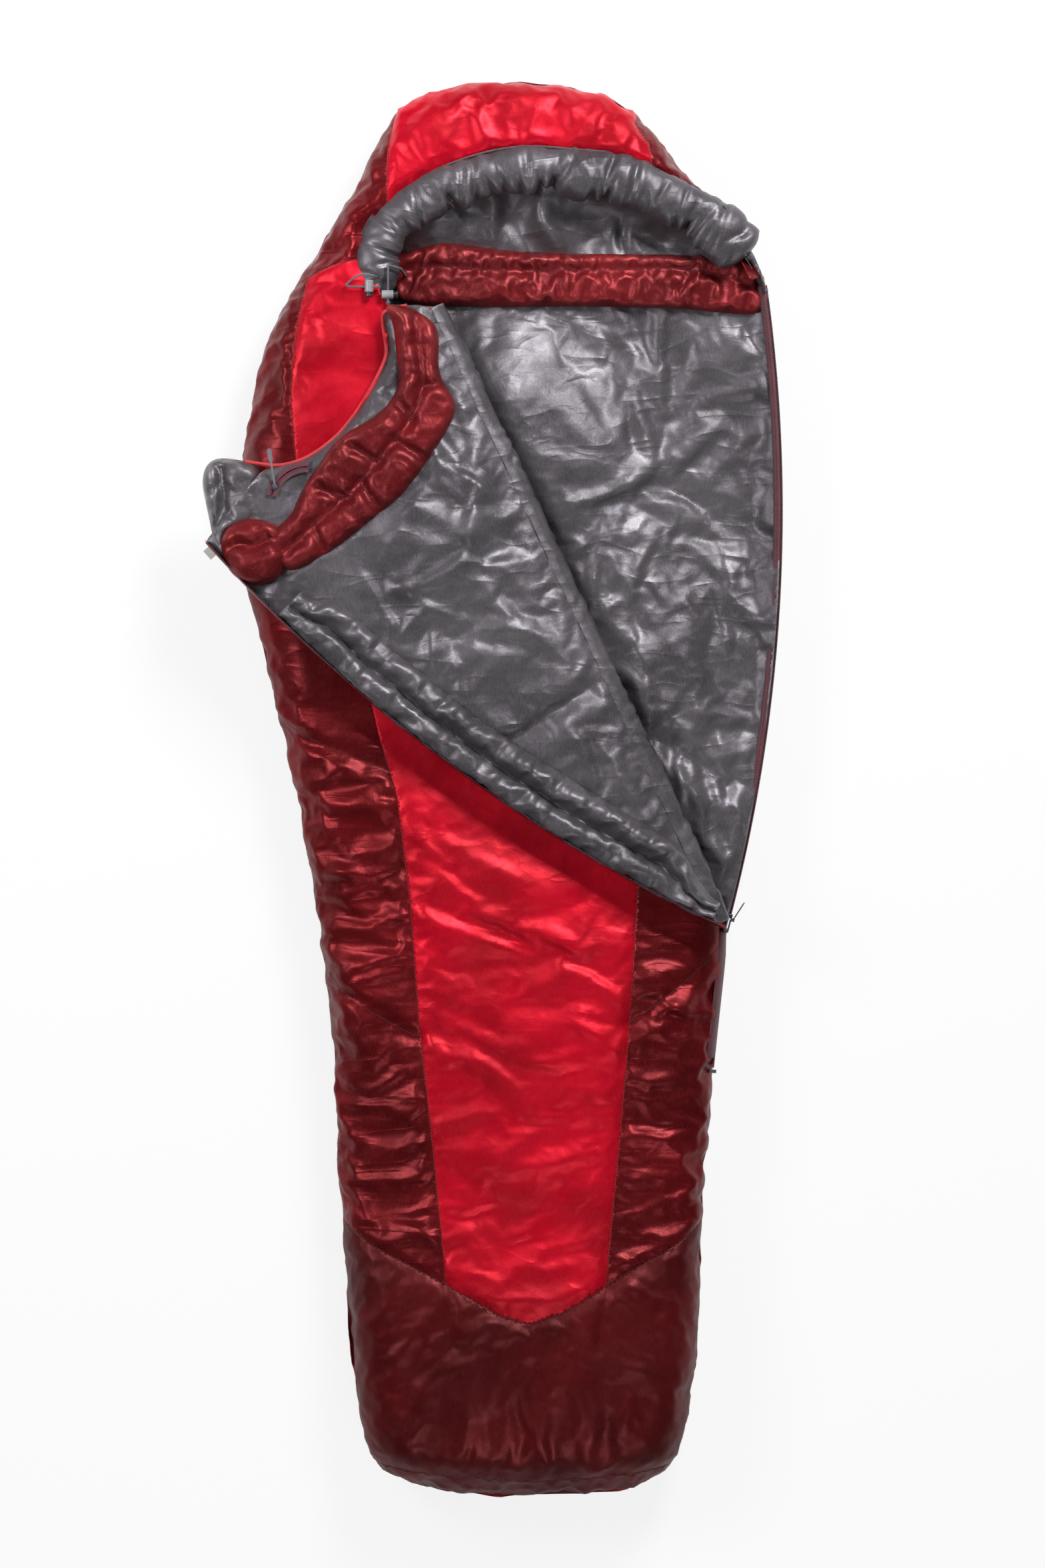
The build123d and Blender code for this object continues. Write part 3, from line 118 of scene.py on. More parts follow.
SHOULDER = [(-520.0, 745.0), (-330.0, 762.8), (-247.0, 782.0), (-216.0, 780.0)]
HOOD_ZONE = A(SHOULDER + [(0.0, 770.0), (340.0, 756.0), (520.0, 756.0), (520.0, 1200.0), (-520.0, 1200.0)])
VEE = [(-330.0, -623.0), (-271.0, -648.5), (-125.2, -722.4), (-32.5, -774.6),
       (7.9, -786.4), (60.1, -768.7), (152.8, -710.5), (266.1, -650.4), (330.0, -618.0)]
FOOT_ZONE = A(VEE + [(330.0, -1200.0), (-330.0, -1200.0)])
FOOT_END = [(-330.0, -1002.0), (-184.0, -1013.0), (-52.0, -1023.0), (18.0, -1030.0),
            (88.0, -1023.0), (185.0, -1015.0), (330.0, -1004.0)]
END_ZONE = A(FOOT_END + [(330.0, -1200.0), (-330.0, -1200.0)])
SEAM_LEFT = [(-330.0, 762.8), (-341.0, 654.4), (-343.9, 575.5), (-336.1, 486.8), (-281.9, 358.7),
             (-211.9, 72.9), (-187.2, -5.9), (-167.5, -163.6), (-153.7, -350.8), (-134.0, -528.2),
             (-105.0, -820.0)]
SEAM_RIGHT = [(285.0, 800.0), (285.0, 600.0), (275.0, 480.0), (240.0, 300.0), (171.0, 80.0),
              (167.5, -139.0), (161.6, -252.3), (153.7, -370.5), (141.9, -508.5), (132.1, -607.1),
              (112.0, -820.0)]
LEFT_ZONE = A(SEAM_LEFT + [(-520.0, -820.0), (-520.0, 745.0)])
RIGHT_ZONE = A(SEAM_RIGHT + [(520.0, -820.0), (520.0, 800.0)])
CROWN_ZONE = A([(-203.0, 830.0), (-203.0, 875.0), (-209.0, 980.6), (-225.0, 1100.0), (230.0, 1100.0),
                (175.4, 993.4), (191.2, 957.9), (191.2, 870.0)])
CROWN_LEFT = [(-203.0, 846.0), (-203.0, 875.0), (-209.0, 980.6), (-225.0, 1100.0)]
CROWN_RIGHT = [(191.2, 870.0), (191.2, 957.9), (175.4, 993.4), (230.0, 1100.0)]
CHEVRONS = [
    [(-420.0, 115.0), (-359.7, 91.7), (-196.1, 25.6)],
    [(-340.0, -252.0), (-290.7, -284.8), (-245.4, -317.3), (-153.7, -366.6)],
    [(345.0, -200.0), (290.7, -242.4), (155.7, -346.9)],
]
FLAP_NECK = A([tuple(on_fold(985.0, 0.8)), (-96.9, 746.3), (-67.4, 769.1), (-53.0, 757.1), (-27.3, 726.4),
               (-11.9, 718.7), (23.1, 709.8), (68.5, 702.6), (113.4, 700.8), (155.3, 709.4),
               (181.6, 720.7), (204.0, 736.7), (224.0, 752.0)])
FLAP_COLLAR = A([
    (-84.0, 740.0), (-91.0, 706.0), (-84.0, 684.0), (-42.0, 648.0), (-34.0, 602.0), (-14.6, 588.3),
    (34.3, 580.7), (111.3, 571.3), (173.2, 583.6), (237.4, 594.1), (290.0, 615.0), (300.0, 640.0),
    (305.0, 690.0), (300.0, 718.0), (276.0, 684.0), (245.9, 680.9), (210.3, 684.0), (147.5, 690.0),
    (101.6, 688.0), (45.4, 670.5), (1.1, 672.9), (-37.4, 714.4), (-62.0, 742.0)])
ARC = np.linspace(-14.92, 8.05, 80)
REST_FLAP = np.vstack([turned(FLAP_NECK), turned(on_zip(ARC[::-1], 0.2))])
REST_COLLAR = turned(FLAP_COLLAR)
BC_TOP = A([(-205.0, 790.0), (-194.1, 795.3), (-149.8, 809.1), (-105.4, 814.0), (-44.3, 802.2), (25.6, 798.3),
            (114.3, 795.3), (246.4, 795.3), (307.5, 793.3), (334.1, 782.5), (352.0, 752.0)])
BC_MID = A([(-200.0, 757.0), (-180.3, 769.7), (-128.1, 777.6), (-62.1, 769.7), (25.6, 769.7), (136.0, 769.7),
            (202.0, 775.6), (289.7, 764.7), (355.0, 741.0)])
BC_LOW = A([(-196.0, 716.5), (-97.6, 718.4), (-35.5, 716.5), (70.0, 718.4), (157.7, 716.5), (246.4, 714.5),
            (325.2, 702.7), (361.0, 709.6)])
LSEAM_BACK = [(194.1, 461.2), (244.4, 429.7), (283.8, 410.0), (338.0, 383.4), (376.0, 363.6)]
LSEAM_LOW = [(187.2, 77.9), (228.6, 57.2), (299.0, 3.0)]
LSEAM_FLAP = [(114.3, 168.5), (103.5, 154.7), (37.4, 109.4), (-35.5, 60.1), (-60.0, 40.0)]


# ------------------------------------------------------------ plan geometry
def inside(p, poly):
    x, y = p[:, 0], p[:, 1]
    hit = np.zeros(len(p), bool)
    a = poly
    b = np.roll(poly, -1, 0)
    for (x1, y1), (x2, y2) in zip(a, b):
        if y1 == y2:
            continue
        c = ((y1 > y) != (y2 > y)) & (x < (x2 - x1) * (y - y1) / (y2 - y1) + x1)
        hit ^= c
    return hit


def to_line(p, line, closed=False):
    """Distance to a polyline, nearest point on it, its left normal there, and length along it."""
    a = np.asarray(line, float)
    if closed:
        a = np.vstack([a, a[:1]])
    best = np.full(len(p), 1e9)
    foot = np.zeros((len(p), 2))
    nrm = np.zeros((len(p), 2))
    along = np.zeros(len(p))
    run = 0.0
    for q, r in zip(a[:-1], a[1:]):
        e = r - q
        ln = math.hypot(*e)
        if ln < 1e-9:
            continue
        t = np.clip(((p - q) @ e) / (ln * ln), 0, 1)
        f = q + t[:, None] * e
        d = np.hypot(*(p - f).T)
        m = d < best
        best[m] = d[m]
        foot[m] = f[m]
        nrm[m] = (-e[1] / ln, e[0] / ln)
        along[m] = run + t[m] * ln
        run += ln
    return best, foot, nrm, along


def resample(line, step, closed=False):
    a = np.asarray(line, float)
    if closed:
        a = np.vstack([a, a[:1]])
    seg = np.hypot(*np.diff(a, axis=0).T[:2])
    s = np.concatenate([[0], np.cumsum(seg)])
    n = max(2, int(round(s[-1] / step)) + 1)
    t = np.linspace(0, s[-1], n)
    out = np.stack([np.interp(t, s, a[:, k]) for k in range(a.shape[1])], -1)
    return out[:-1] if closed else out


def smooth(line, rounds=2, closed=False):
    """Corner-cut curve through a polyline."""
    a = np.asarray(line, float)
    for _ in range(rounds):
        b = np.roll(a, -1, 0) if closed else a[1:]
        c = a if closed else a[:-1]
        q, r = 0.75 * c + 0.25 * b, 0.25 * c + 0.75 * b
        mix = np.empty((2 * len(q), a.shape[1]))
        mix[0::2], mix[1::2] = q, r
        a = mix if closed else np.vstack([a[:1], mix, a[-1:]])
    return a


def creases(p, n, area, angle, spread, length, width, amp, seed, keep=None):
    """Heights of n soft creases scattered over an area: each a short bent ridge, steeper on one side."""
    r = np.random.default_rng(seed)
    area = np.asarray(area, float)
    lo, hi = area.min(0), area.max(0)
    h = np.zeros(len(p))
    made = tries = 0
    while made < n and tries < n * 20:
        tries += 1
        c = r.uniform(lo, hi)
        if not inside(c[None], area)[0]:
            continue
        made += 1
        a = math.radians(angle(c) if callable(angle) else angle) + math.radians(r.normal(0, spread))
        ln = r.uniform(*length) / 2
        wd = r.uniform(*width)
        am = r.uniform(*amp) * r.choice([1, 1, 1, -0.7])
        bend = r.uniform(-0.25, 0.25) / ln
        side = r.choice([-1, 1])
        m = (np.abs(p[:, 0] - c[0]) < ln + 30) & (np.abs(p[:, 1] - c[1]) < ln + 30)
        if not m.any():
            continue
        q = p[m] - c
        u = q[:, 0] * math.cos(a) + q[:, 1] * math.sin(a)
        v = -q[:, 0] * math.sin(a) + q[:, 1] * math.cos(a)
        v = v - bend * u * u
        t = np.clip(1 - (u / ln) ** 2, 0, 1)
        w = wd * (0.55 + 0.45 * t)
        w = np.where(v * side > 0, w * 0.6, w * 1.5)
        h[m] += am * t ** 1.2 * np.exp(-(v / w) ** 2)
    if keep is not None:
        h = h * keep
    return h


def box_area(x0, y0, x1, y1):
    return A([(x0, y0), (x1, y0), (x1, y1), (x0, y1)])


def step01(x, lo, hi):
    t = np.clip((x - lo) / (hi - lo), 0, 1)
    return t * t * (3 - 2 * t)


def value_noise(p, size, seed):
    """Smooth random field between -1 and 1, feature size in millimetres."""
    g = np.random.default_rng(seed).uniform(-1, 1, (64, 64))
    u, v = p[:, 0] / size + 100.3, p[:, 1] / size + 100.7
    i, j = np.floor(u).astype(int), np.floor(v).astype(int)
    fu, fv = u - i, v - j
    fu, fv = fu * fu * (3 - 2 * fu), fv * fv * (3 - 2 * fv)
    i0, i1, j0, j1 = i % 64, (i + 1) % 64, j % 64, (j + 1) % 64
    return (g[i0, j0] * (1 - fu) * (1 - fv) + g[i1, j0] * fu * (1 - fv)
            + g[i0, j1] * (1 - fu) * fv + g[i1, j1] * fu * fv)


def sheet(domain, lines, step, bounds=None):
    """Triangulated plan sheet. domain(p) keeps points; lines are kept as edges. Returns points, triangles, on-line flags."""
    lines = [np.asarray(l, float) for l in lines]
    if bounds is None:
        allp = np.vstack(lines)
        bounds = (*allp.min(0), *allp.max(0))
    x0, y0, x1, y1 = bounds
    rows = []
    h = step * math.sqrt(3) / 2
    for k, y in enumerate(np.arange(y0, y1 + h, h)):
        xs = np.arange(x0 + (step / 2 if k % 2 else 0), x1 + step, step)
        rows.append(np.stack([xs, np.full(len(xs), y)], -1))
    g = np.vstack(rows)
    g += RNG.uniform(-0.22, 0.22, g.shape) * step
    g = g[domain(g)]
    coords, edges = [], []
    keep = np.ones(len(g), bool)
    for l in lines:
        keep &= to_line(g, l)[0] > 0.5 * step
        base = len(coords)
        coords += [tuple(q) for q in l]
        edges += [(base + i, base + i + 1) for i in range(len(l) - 1)]
    nline = len(coords)
    coords += [tuple(q) for q in g[keep]]
    out = delaunay_2d_cdt([Vector(c) for c in coords], edges, [], 0, 1e-4)
    pts = A([tuple(v) for v in out[0]])
    tri = np.array([f for f in out[2] if len(f) == 3], int)
    cen = pts[tri].mean(1)
    tri = tri[domain(cen)]
    on = np.array([any(o < nline for o in src) for src in out[3]], bool)
    used = np.unique(tri)
    remap = np.full(len(pts), -1)
    remap[used] = np.arange(len(used))
    return pts[used], remap[tri], on[used]


def border(tri, n):
    """Vertices on the open edges of a triangle mesh."""
    e = np.sort(np.vstack([tri[:, [0, 1]], tri[:, [1, 2]], tri[:, [2, 0]]]), 1)
    u, c = np.unique(e, axis=0, return_counts=True)
    flag = np.zeros(n, bool)
    flag[u[c == 1].ravel()] = True
    return flag


# ----------------------------------------------------------- mesh and cloth
def make(name, co, faces, material, body=None, smooth_shade=True):
    me = bpy.data.meshes.new(name)
    me.from_pydata([tuple(v) for v in np.asarray(co, float) / 1000.0], [], [tuple(int(i) for i in f) for f in faces])
    me.validate()
    me.polygons.foreach_set("use_smooth", [smooth_shade] * len(me.polygons))
    me.materials.append(material)
    me.update()
    ob = bpy.data.objects.new(name, me)
    bpy.context.scene.collection.objects.link(ob)
    if body:
        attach(ob, body)
    return ob


def thicken(ob, mm=1.0, offset=-1.0, fine=False):
    if fine:
        d = ob.modifiers.new("smooth", "SUBSURF")
        d.levels = 1
        d.render_levels = 1
    m = ob.modifiers.new("thickness", "SOLIDIFY")
    m.thickness = mm / 1000.0
    m.offset = offset
    m.use_rim = True
    return ob


def normals(co, tri):
    n = np.cross(co[tri[:, 1]] - co[tri[:, 0]], co[tri[:, 2]] - co[tri[:, 0]])
    out = np.zeros_like(co)
    for k in range(3):
        np.add.at(out, tri[:, k], n)
    return out / np.maximum(np.linalg.norm(out, axis=1, keepdims=True), 1e-12)


def cloth(co, tri, pin, rest_scale, frames=18, pressure=0.0, cap=12.0, bend=0.4, jitter=0.4, quality=5, weight=None):
    """Lets a pinned panel of extra cloth buckle and settle. rest_scale is one row per vertex or three numbers: how much longer the cut cloth is than the place it is sewn into."""
    base = co + 0
    free = ~pin
    start = co.copy()
    nrm = normals(co, tri)
    start[free] += nrm[free] * (RNG.normal(0, jitter, (free.sum(), 1)))
    me = bpy.data.meshes.new("cloth_tmp")
    mid = base.mean(0)
    cut_shape = (start - mid) * np.asarray(rest_scale, float) + mid
    me.from_pydata([tuple(v) for v in cut_shape / 1000.0], [], [tuple(int(i) for i in f) for f in tri])
    me.update()
    ob = bpy.data.objects.new("cloth_tmp", me)
    bpy.context.scene.collection.objects.link(ob)
    # the cut cloth is larger than its place, and is drawn in to its seams
    ob.shape_key_add(name="Basis")
    key = ob.shape_key_add(name="Sewn")
    key.data.foreach_set("co", (start / 1000.0).astype(np.float32).ravel())
    key.value = 0.0
    key.keyframe_insert("value", frame=1)
    key.value = 1.0
    key.keyframe_insert("value", frame=max(4, int(frames * 0.5)))
    g = ob.vertex_groups.new(name="pin")
    g.add([int(i) for i in np.nonzero(pin)[0]], 1.0, "REPLACE")
    m = ob.modifiers.new("cloth", "CLOTH")
    s = m.settings
    s.quality = quality
    s.mass = 0.12
    s.air_damping = 2.0
    s.tension_stiffness = 18
    s.compression_stiffness = 18
    s.shear_stiffness = 6
    s.bending_stiffness = bend
    s.tension_damping = 8
    s.compression_damping = 8
    s.shear_damping = 8
    s.bending_damping = 0.6
    s.vertex_group_mass = "pin"
    s.pin_stiffness = 1.0
    s.effector_weights.gravity = 0.0
    if pressure:
        s.use_pressure = True
        s.uniform_pressure_force = pressure
    m.collision_settings.use_collision = False
    m.collision_settings.use_self_collision = False
    m.point_cache.frame_start = 1
    m.point_cache.frame_end = frames + 1
    sc = bpy.context.scene
    for f in range(1, frames + 1):
        sc.frame_set(f)
    dg = bpy.context.evaluated_depsgraph_get()
    ev = ob.evaluated_get(dg)
    out = np.zeros(len(co) * 3, np.float32)
    ev.data.vertices.foreach_get("co", out)
    out = out.reshape(-1, 3).astype(float) * 1000.0
    sc.frame_set(1)
    bpy.data.objects.remove(ob)
    bpy.data.meshes.remove(me)
    d = out - base
    ln = np.linalg.norm(d, axis=1, keepdims=True)
    lim = cap * np.tanh(ln / cap) / np.maximum(ln, 1e-9)
    if weight is not None:
        lim = lim * weight[:, None]
    d = d * lim
    d[pin] = 0
    bad = ~np.isfinite(d).all(1)
    d[bad] = 0
    return relax(base + d, tri, pin, 1, 0.45)


def relax(co, tri, keep, rounds=1, amount=0.5):
    """Light smoothing that leaves the kept vertices alone."""
    n = len(co)
    e = np.vstack([tri[:, [0, 1]], tri[:, [1, 2]], tri[:, [2, 0]]])
    for _ in range(rounds):
        acc = np.zeros_like(co)
        cnt = np.zeros(n)
        np.add.at(acc, e[:, 0], co[e[:, 1]])
        np.add.at(cnt, e[:, 0], 1)
        np.add.at(acc, e[:, 1], co[e[:, 0]])
        np.add.at(cnt, e[:, 1], 1)
        avg = acc / np.maximum(cnt, 1)[:, None]
        new = co + amount * (avg - co)
        new[keep] = co[keep]
        co = new
    return co


def loft(rows, close_u=False, close_v=False):
    """Quads over a grid of rows of points. Returns points and faces."""
    rows = np.asarray(rows, float)
    r, c = rows.shape[:2]
    co = rows.reshape(-1, 3)
    faces = []
    for i in range(r if close_u else r - 1):
        for j in range(c if close_v else c - 1):
            a, b = i * c + j, i * c + (j + 1) % c
            d, e = ((i + 1) % r) * c + j, ((i + 1) % r) * c + (j + 1) % c
            faces.append((a, b, e, d))
    return co, faces


def tube(path, radius, sides=8, cap=True):
    """Round cord along a 3-D path; radius is a number or one value per point."""
    p = np.asarray(path, float)
    t = np.gradient(p, axis=0)
    t /= np.linalg.norm(t, axis=1, keepdims=True)
    up = np.array((0.0, 0.0, 1.0))
    side = np.cross(t, up)
    ln = np.linalg.norm(side, axis=1, keepdims=True)
    side = np.where(ln > 1e-3, side / np.maximum(ln, 1e-9), np.array((1.0, 0, 0)))
    top = np.cross(side, t)
    r = np.broadcast_to(np.asarray(radius, float), (len(p),))[:, None]
    rows = []
    for k in range(sides):
        a = 2 * math.pi * k / sides
        rows.append(p + r * (math.cos(a) * side + math.sin(a) * top))
    rows = np.transpose(np.array(rows), (1, 0, 2))
    co, faces = loft(rows, close_v=True)
    if cap:
        n = len(p)
        faces.append(tuple(range(sides))[::-1])
        faces.append(tuple((n - 1) * sides + k for k in range(sides)))
    return co, faces


def join(parts):
    co, faces, base = [], [], 0
    for c, f in parts:
        co.append(c)
        faces += [tuple(int(i) + base for i in q) for q in f]
        base += len(c)
    return np.vstack(co), faces


def stitches(name, path, material, body, pitch=4.2, length=2.8, radius=0.42, lift=0.35):
    """A row of thread stitches lying along a 3-D path."""
    p = resample(path, 1.0)
    seg = np.linalg.norm(np.diff(p, axis=0), axis=1)
    s = np.concatenate([[0], np.cumsum(seg)])
    parts = []
    for c in np.arange(pitch, s[-1] - pitch, pitch):
        q = [np.array([np.interp(c + o, s, p[:, k]) for k in range(3)]) for o in (-length / 2, -length / 4, length / 4, length / 2)]
        q[0][2] -= 0.4
        q[3][2] -= 0.4
        q = np.array(q) + (0, 0, lift)
        parts.append(tube(q, [radius * 0.5, radius, radius, radius * 0.5], 5))
    co, faces = join(parts)
    return make(name, co, faces, material, body)


def height_at(q, pts, co, k=3):
    """Height of a finished sheet near plan points."""
    from mathutils import kdtree
    t = kdtree.KDTree(len(co))
    for i, v in enumerate(co):
        t.insert((v[0], v[1], 0.0), i)
    t.balance()
    out = []
    for x, y in q:
        near = t.find_n((x, y, 0.0), k)
        w = np.array([1.0 / (n[2] + 0.3) for n in near])
        out.append(float((w * np.array([co[n[1], 2] for n in near])).sum() / w.sum()))
    return np.array(out)


# ---------------------------------------------------------------- materials
def srgb(r, g, b):
    def f(c):
        c /= 255.0
        return c / 12.92 if c <= 0.04045 else ((c + 0.055) / 1.055) ** 2.4
    return (f(r), f(g), f(b), 1.0)


class Nodes:
    def __init__(self, name):
        self.m = bpy.data.materials.new(name)
        self.m.use_nodes = True
        self.t = self.m.node_tree
        self.t.nodes.clear()
        self.out = self.add("ShaderNodeOutputMaterial")
        self.b = self.add("ShaderNodeBsdfPrincipled")
        self.link(self.b, "BSDF", self.out, "Surface")
        self.tc = self.add("ShaderNodeTexCoord")

    def add(self, kind, **kw):
        n = self.t.nodes.new(kind)
        for k, v in kw.items():
            setattr(n, k, v)
        return n

    def link(self, a, o, b, i):
        self.t.links.new(a.outputs[o], b.inputs[i])

    def noise(self, scale, detail=3.0, rough=0.55, kind="FBM", stretch=None, distortion=0.0):
        n = self.add("ShaderNodeTexNoise", noise_dimensions="3D", noise_type=kind)
        n.inputs["Scale"].default_value = scale
        n.inputs["Detail"].default_value = detail
        n.inputs["Roughness"].default_value = rough
        n.inputs["Distortion"].default_value = distortion
        if stretch:
            m = self.add("ShaderNodeMapping")
            m.inputs["Scale"].default_value = stretch[:3]
            if len(stretch) > 3:
                m.inputs["Rotation"].default_value = (0, 0, math.radians(stretch[3]))
            self.link(self.tc, "Object", m, "Vector")
            self.link(m, "Vector", n, "Vector")
        else:
            self.link(self.tc, "Object", n, "Vector")
        return n

    def ramp(self, src, out, lo, hi, a=0.0, b=1.0):
        r = self.add("ShaderNodeMapRange", interpolation_type="SMOOTHSTEP")
        r.inputs["From Min"].default_value = lo
        r.inputs["From Max"].default_value = hi
        r.inputs["To Min"].default_value = a
        r.inputs["To Max"].default_value = b
        self.link(src, out, r, "Value")
        return r

    def mix(self, fac, fo, a, b):
        n = self.add("ShaderNodeMix", data_type="RGBA")
        if fac is None:
            n.inputs[0].default_value = fo
        else:
            self.link(fac, fo, n, 0)
        for i, v in ((6, a), (7, b)):
            if isinstance(v, tuple) and len(v) == 2:
                self.t.links.new(v[0].outputs[v[1]], n.inputs[i])
            else:
                n.inputs[i].default_value = v
        return n

    def bump(self, src, out, strength, distance, before=None):
        n = self.add("ShaderNodeBump")
        n.inputs["Strength"].default_value = strength
        n.inputs["Distance"].default_value = distance
        self.link(src, out, n, "Height")
        if before is not None:
            self.link(before, "Normal", n, "Normal")
        return n


def fabric(name, base, dark, light, rough=(0.30, 0.46), metal=0.3, crinkle=0.5, crease_scale=26.0, stretch=None, ridge_wear_and_highlight=0.5):
    """Satin ripstop nylon: crossing threads, crinkled coating, uneven dye, convex ridges paled toward the highlight
    colour as a painted highlight along with edge wear.
    """
    k = Nodes(name)
    tone = k.noise(7.0, 3.0)
    fine = k.noise(120.0, 2.0)
    c1 = k.mix(k.ramp(tone, "Fac", 0.35, 0.68), "Result", dark, base)
    geo = k.add("ShaderNodeNewGeometry")
    # painted highlight: convex ridges (pointiness) are mixed toward the highlight colour, along with edge wear
    pale_edges = k.ramp(geo, "Pointiness", 0.52, 0.60, 0.0, ridge_wear_and_highlight)
    c2 = k.mix(pale_edges, "Result", (c1, 2), light)
    thread = k.noise(900.0, 1.0, stretch=(1.0, 0.12, 1.0))
    c3 = k.mix(k.ramp(thread, "Fac", 0.3, 0.7, 0.0, 0.10), "Result", (c2, 2), light)
    k.link(c3, 2, k.b, "Base Color")
    r = k.ramp(k.noise(22.0, 3.0), "Fac", 0.3, 0.7, rough[0], rough[1])
    k.link(r, "Result", k.b, "Roughness")
    k.b.inputs["Metallic"].default_value = metal
    k.b.inputs["Specular IOR Level"].default_value = 0.22
    k.b.inputs["Sheen Weight"].default_value = 0.026
    k.b.inputs["Sheen Roughness"].default_value = 0.4
    k.b.inputs["Sheen Tint"].default_value = light
    ridges = k.noise(crease_scale, 4.0, 0.5, kind="RIDGED_MULTIFRACTAL", stretch=stretch, distortion=0.4)
    ridges.inputs["Offset"].default_value = 0.8
    ridges.inputs["Gain"].default_value = 1.2
    b1 = k.bump(ridges, "Fac", 0.55 * crinkle, 0.0016)
    soft = k.noise(70.0, 3.0, 0.6, distortion=0.6)
    b2 = k.bump(soft, "Fac", 0.35 * crinkle, 0.0012, b1)
    warp = k.add("ShaderNodeTexWave", wave_type="BANDS", bands_direction="X")
    weft = k.add("ShaderNodeTexWave", wave_type="BANDS", bands_direction="Y")
    for w in (warp, weft):
        w.inputs["Scale"].default_value = 620.0
        w.inputs["Distortion"].default_value = 0.6
        k.link(k.tc, "Object", w, "Vector")
    both = k.mix(None, 0.5, (warp, "Color"), (weft, "Color"))
    b3 = k.bump(both, 2, 0.10, 0.0002, b2)
    b4 = k.bump(fine, "Fac", 0.05, 0.0004, b3)
    k.link(b4, "Normal", k.b, "Normal")
    return k.m


def solid(name, base, dark, rough=0.4, metal=0.0, grain=400.0, bump=0.15, light=None):
    """Moulded or metal part: slight mottling, rubbed edges, fine grain."""
    k = Nodes(name)
    tone = k.noise(60.0, 3.0)
    c = k.mix(k.ramp(tone, "Fac", 0.3, 0.7), "Result", dark, base)
    geo = k.add("ShaderNodeNewGeometry")
    pale_edges = k.ramp(geo, "Pointiness", 0.53, 0.62, 0.0, 0.6)
    c2 = k.mix(pale_edges, "Result", (c, 2), light or base)
    k.link(c2, 2, k.b, "Base Color")
    k.link(k.ramp(k.noise(180.0), "Fac", 0.3, 0.7, rough - 0.08, rough + 0.1), "Result", k.b, "Roughness")
    k.b.inputs["Metallic"].default_value = metal
    k.link(k.bump(k.noise(grain, 2.0), "Fac", bump, 0.0003), "Normal", k.b, "Normal")
    return k.m


def woven(name, base, dark, light, scale=420.0, rough=0.6):
    """Woven tape or braided cord: diagonal rib and fuzz."""
    k = Nodes(name)
    tone = k.noise(40.0, 3.0)
    c = k.mix(k.ramp(tone, "Fac", 0.3, 0.7), "Result", dark, base)
    rib = k.add("ShaderNodeTexWave", wave_type="BANDS", bands_direction="DIAGONAL")
    rib.inputs["Scale"].default_value = scale
    rib.inputs["Distortion"].default_value = 1.0
    k.link(k.tc, "Object", rib, "Vector")
    c2 = k.mix(k.ramp(rib, "Color", 0.4, 1.0, 0.0, 0.35), "Result", (c, 2), light)
    k.link(c2, 2, k.b, "Base Color")
    k.b.inputs["Roughness"].default_value = rough
    k.b.inputs["Sheen Weight"].default_value = 0.25
    b1 = k.bump(rib, "Color", 0.4, 0.0004)
    k.link(k.bump(k.noise(700.0, 2.0), "Fac", 0.2, 0.0003, b1), "Normal", k.b, "Normal")
    return k.m


# the third colour of each fabric is its highlight colour: it is painted onto convex ridges as a painted highlight (with
# edge wear), tints the threads and tints the sheen
RED = fabric("nylon_red", srgb(200, 0, 34), srgb(166, 0, 25), srgb(232, 54, 66), (0.35, 0.48), 0.38, 0.6, 18.0, (1.0, 1.8, 1.0, 28))
MAROON = fabric("nylon_maroon", srgb(108, 12, 20), srgb(84, 6, 13), srgb(186, 62, 62), (0.30, 0.43), 0.52, 0.9, 18.0, (0.7, 2.6, 1.0, 6))
DARK = fabric("nylon_dark_maroon", srgb(90, 11, 16), srgb(70, 6, 10), srgb(138, 46, 46), (0.36, 0.5), 0.42, 0.5, 16.0, (1.6, 0.9, 1.0, 5))
GREY = fabric("nylon_grey", srgb(94, 90, 95), srgb(74, 70, 75), srgb(168, 164, 168), (0.34, 0.48), 0.5, 1.0, 16.0, (0.8, 2.2, 1.0, -38))
COLLAR = fabric("nylon_collar_maroon", srgb(118, 24, 30), srgb(92, 13, 19), srgb(186, 82, 82), (0.36, 0.49), 0.44, 1.0, 30.0)
TAPE = woven("woven_zip_tape", srgb(80, 24, 38), srgb(62, 16, 28), srgb(116, 50, 64))
PIPE = woven("piping_red", srgb(196, 14, 30), srgb(160, 6, 20), srgb(226, 70, 76), 500.0)
CORD = woven("braided_cord", srgb(92, 92, 98), srgb(60, 60, 66), srgb(150, 150, 156), 600.0)
THREAD_DARK = woven("thread_dark", srgb(52, 20, 26), srgb(36, 12, 18), srgb(96, 50, 56), 900.0)
THREAD_RED = woven("thread_red", srgb(150, 12, 30), srgb(110, 6, 20), srgb(190, 60, 70), 900.0)
THREAD_GREY = woven("thread_grey", srgb(66, 64, 68), srgb(46, 44, 48), srgb(120, 118, 122), 900.0)
COIL = solid("zip_coil_nylon", srgb(70, 26, 40), srgb(48, 16, 28), 0.35, 0.0, 500.0, 0.1, srgb(120, 60, 76))
SLIDER = solid("zip_slider_metal", srgb(84, 92, 112), srgb(60, 66, 82), 0.3, 0.85, 300.0, 0.1, srgb(150, 156, 172))
PULL = solid("moulded_pull", srgb(44, 34, 40), srgb(30, 24, 30), 0.45, 0.0, 400.0, 0.15, srgb(90, 80, 86))
LOCK = solid("cord_lock_light", srgb(150, 150, 154), srgb(126, 126, 132), 0.4, 0.0, 300.0, 0.2, srgb(190, 190, 194))
LOCK_D = solid("cord_lock_dark", srgb(48, 46, 50), srgb(34, 32, 36), 0.42, 0.0, 300.0, 0.2, srgb(96, 94, 98))
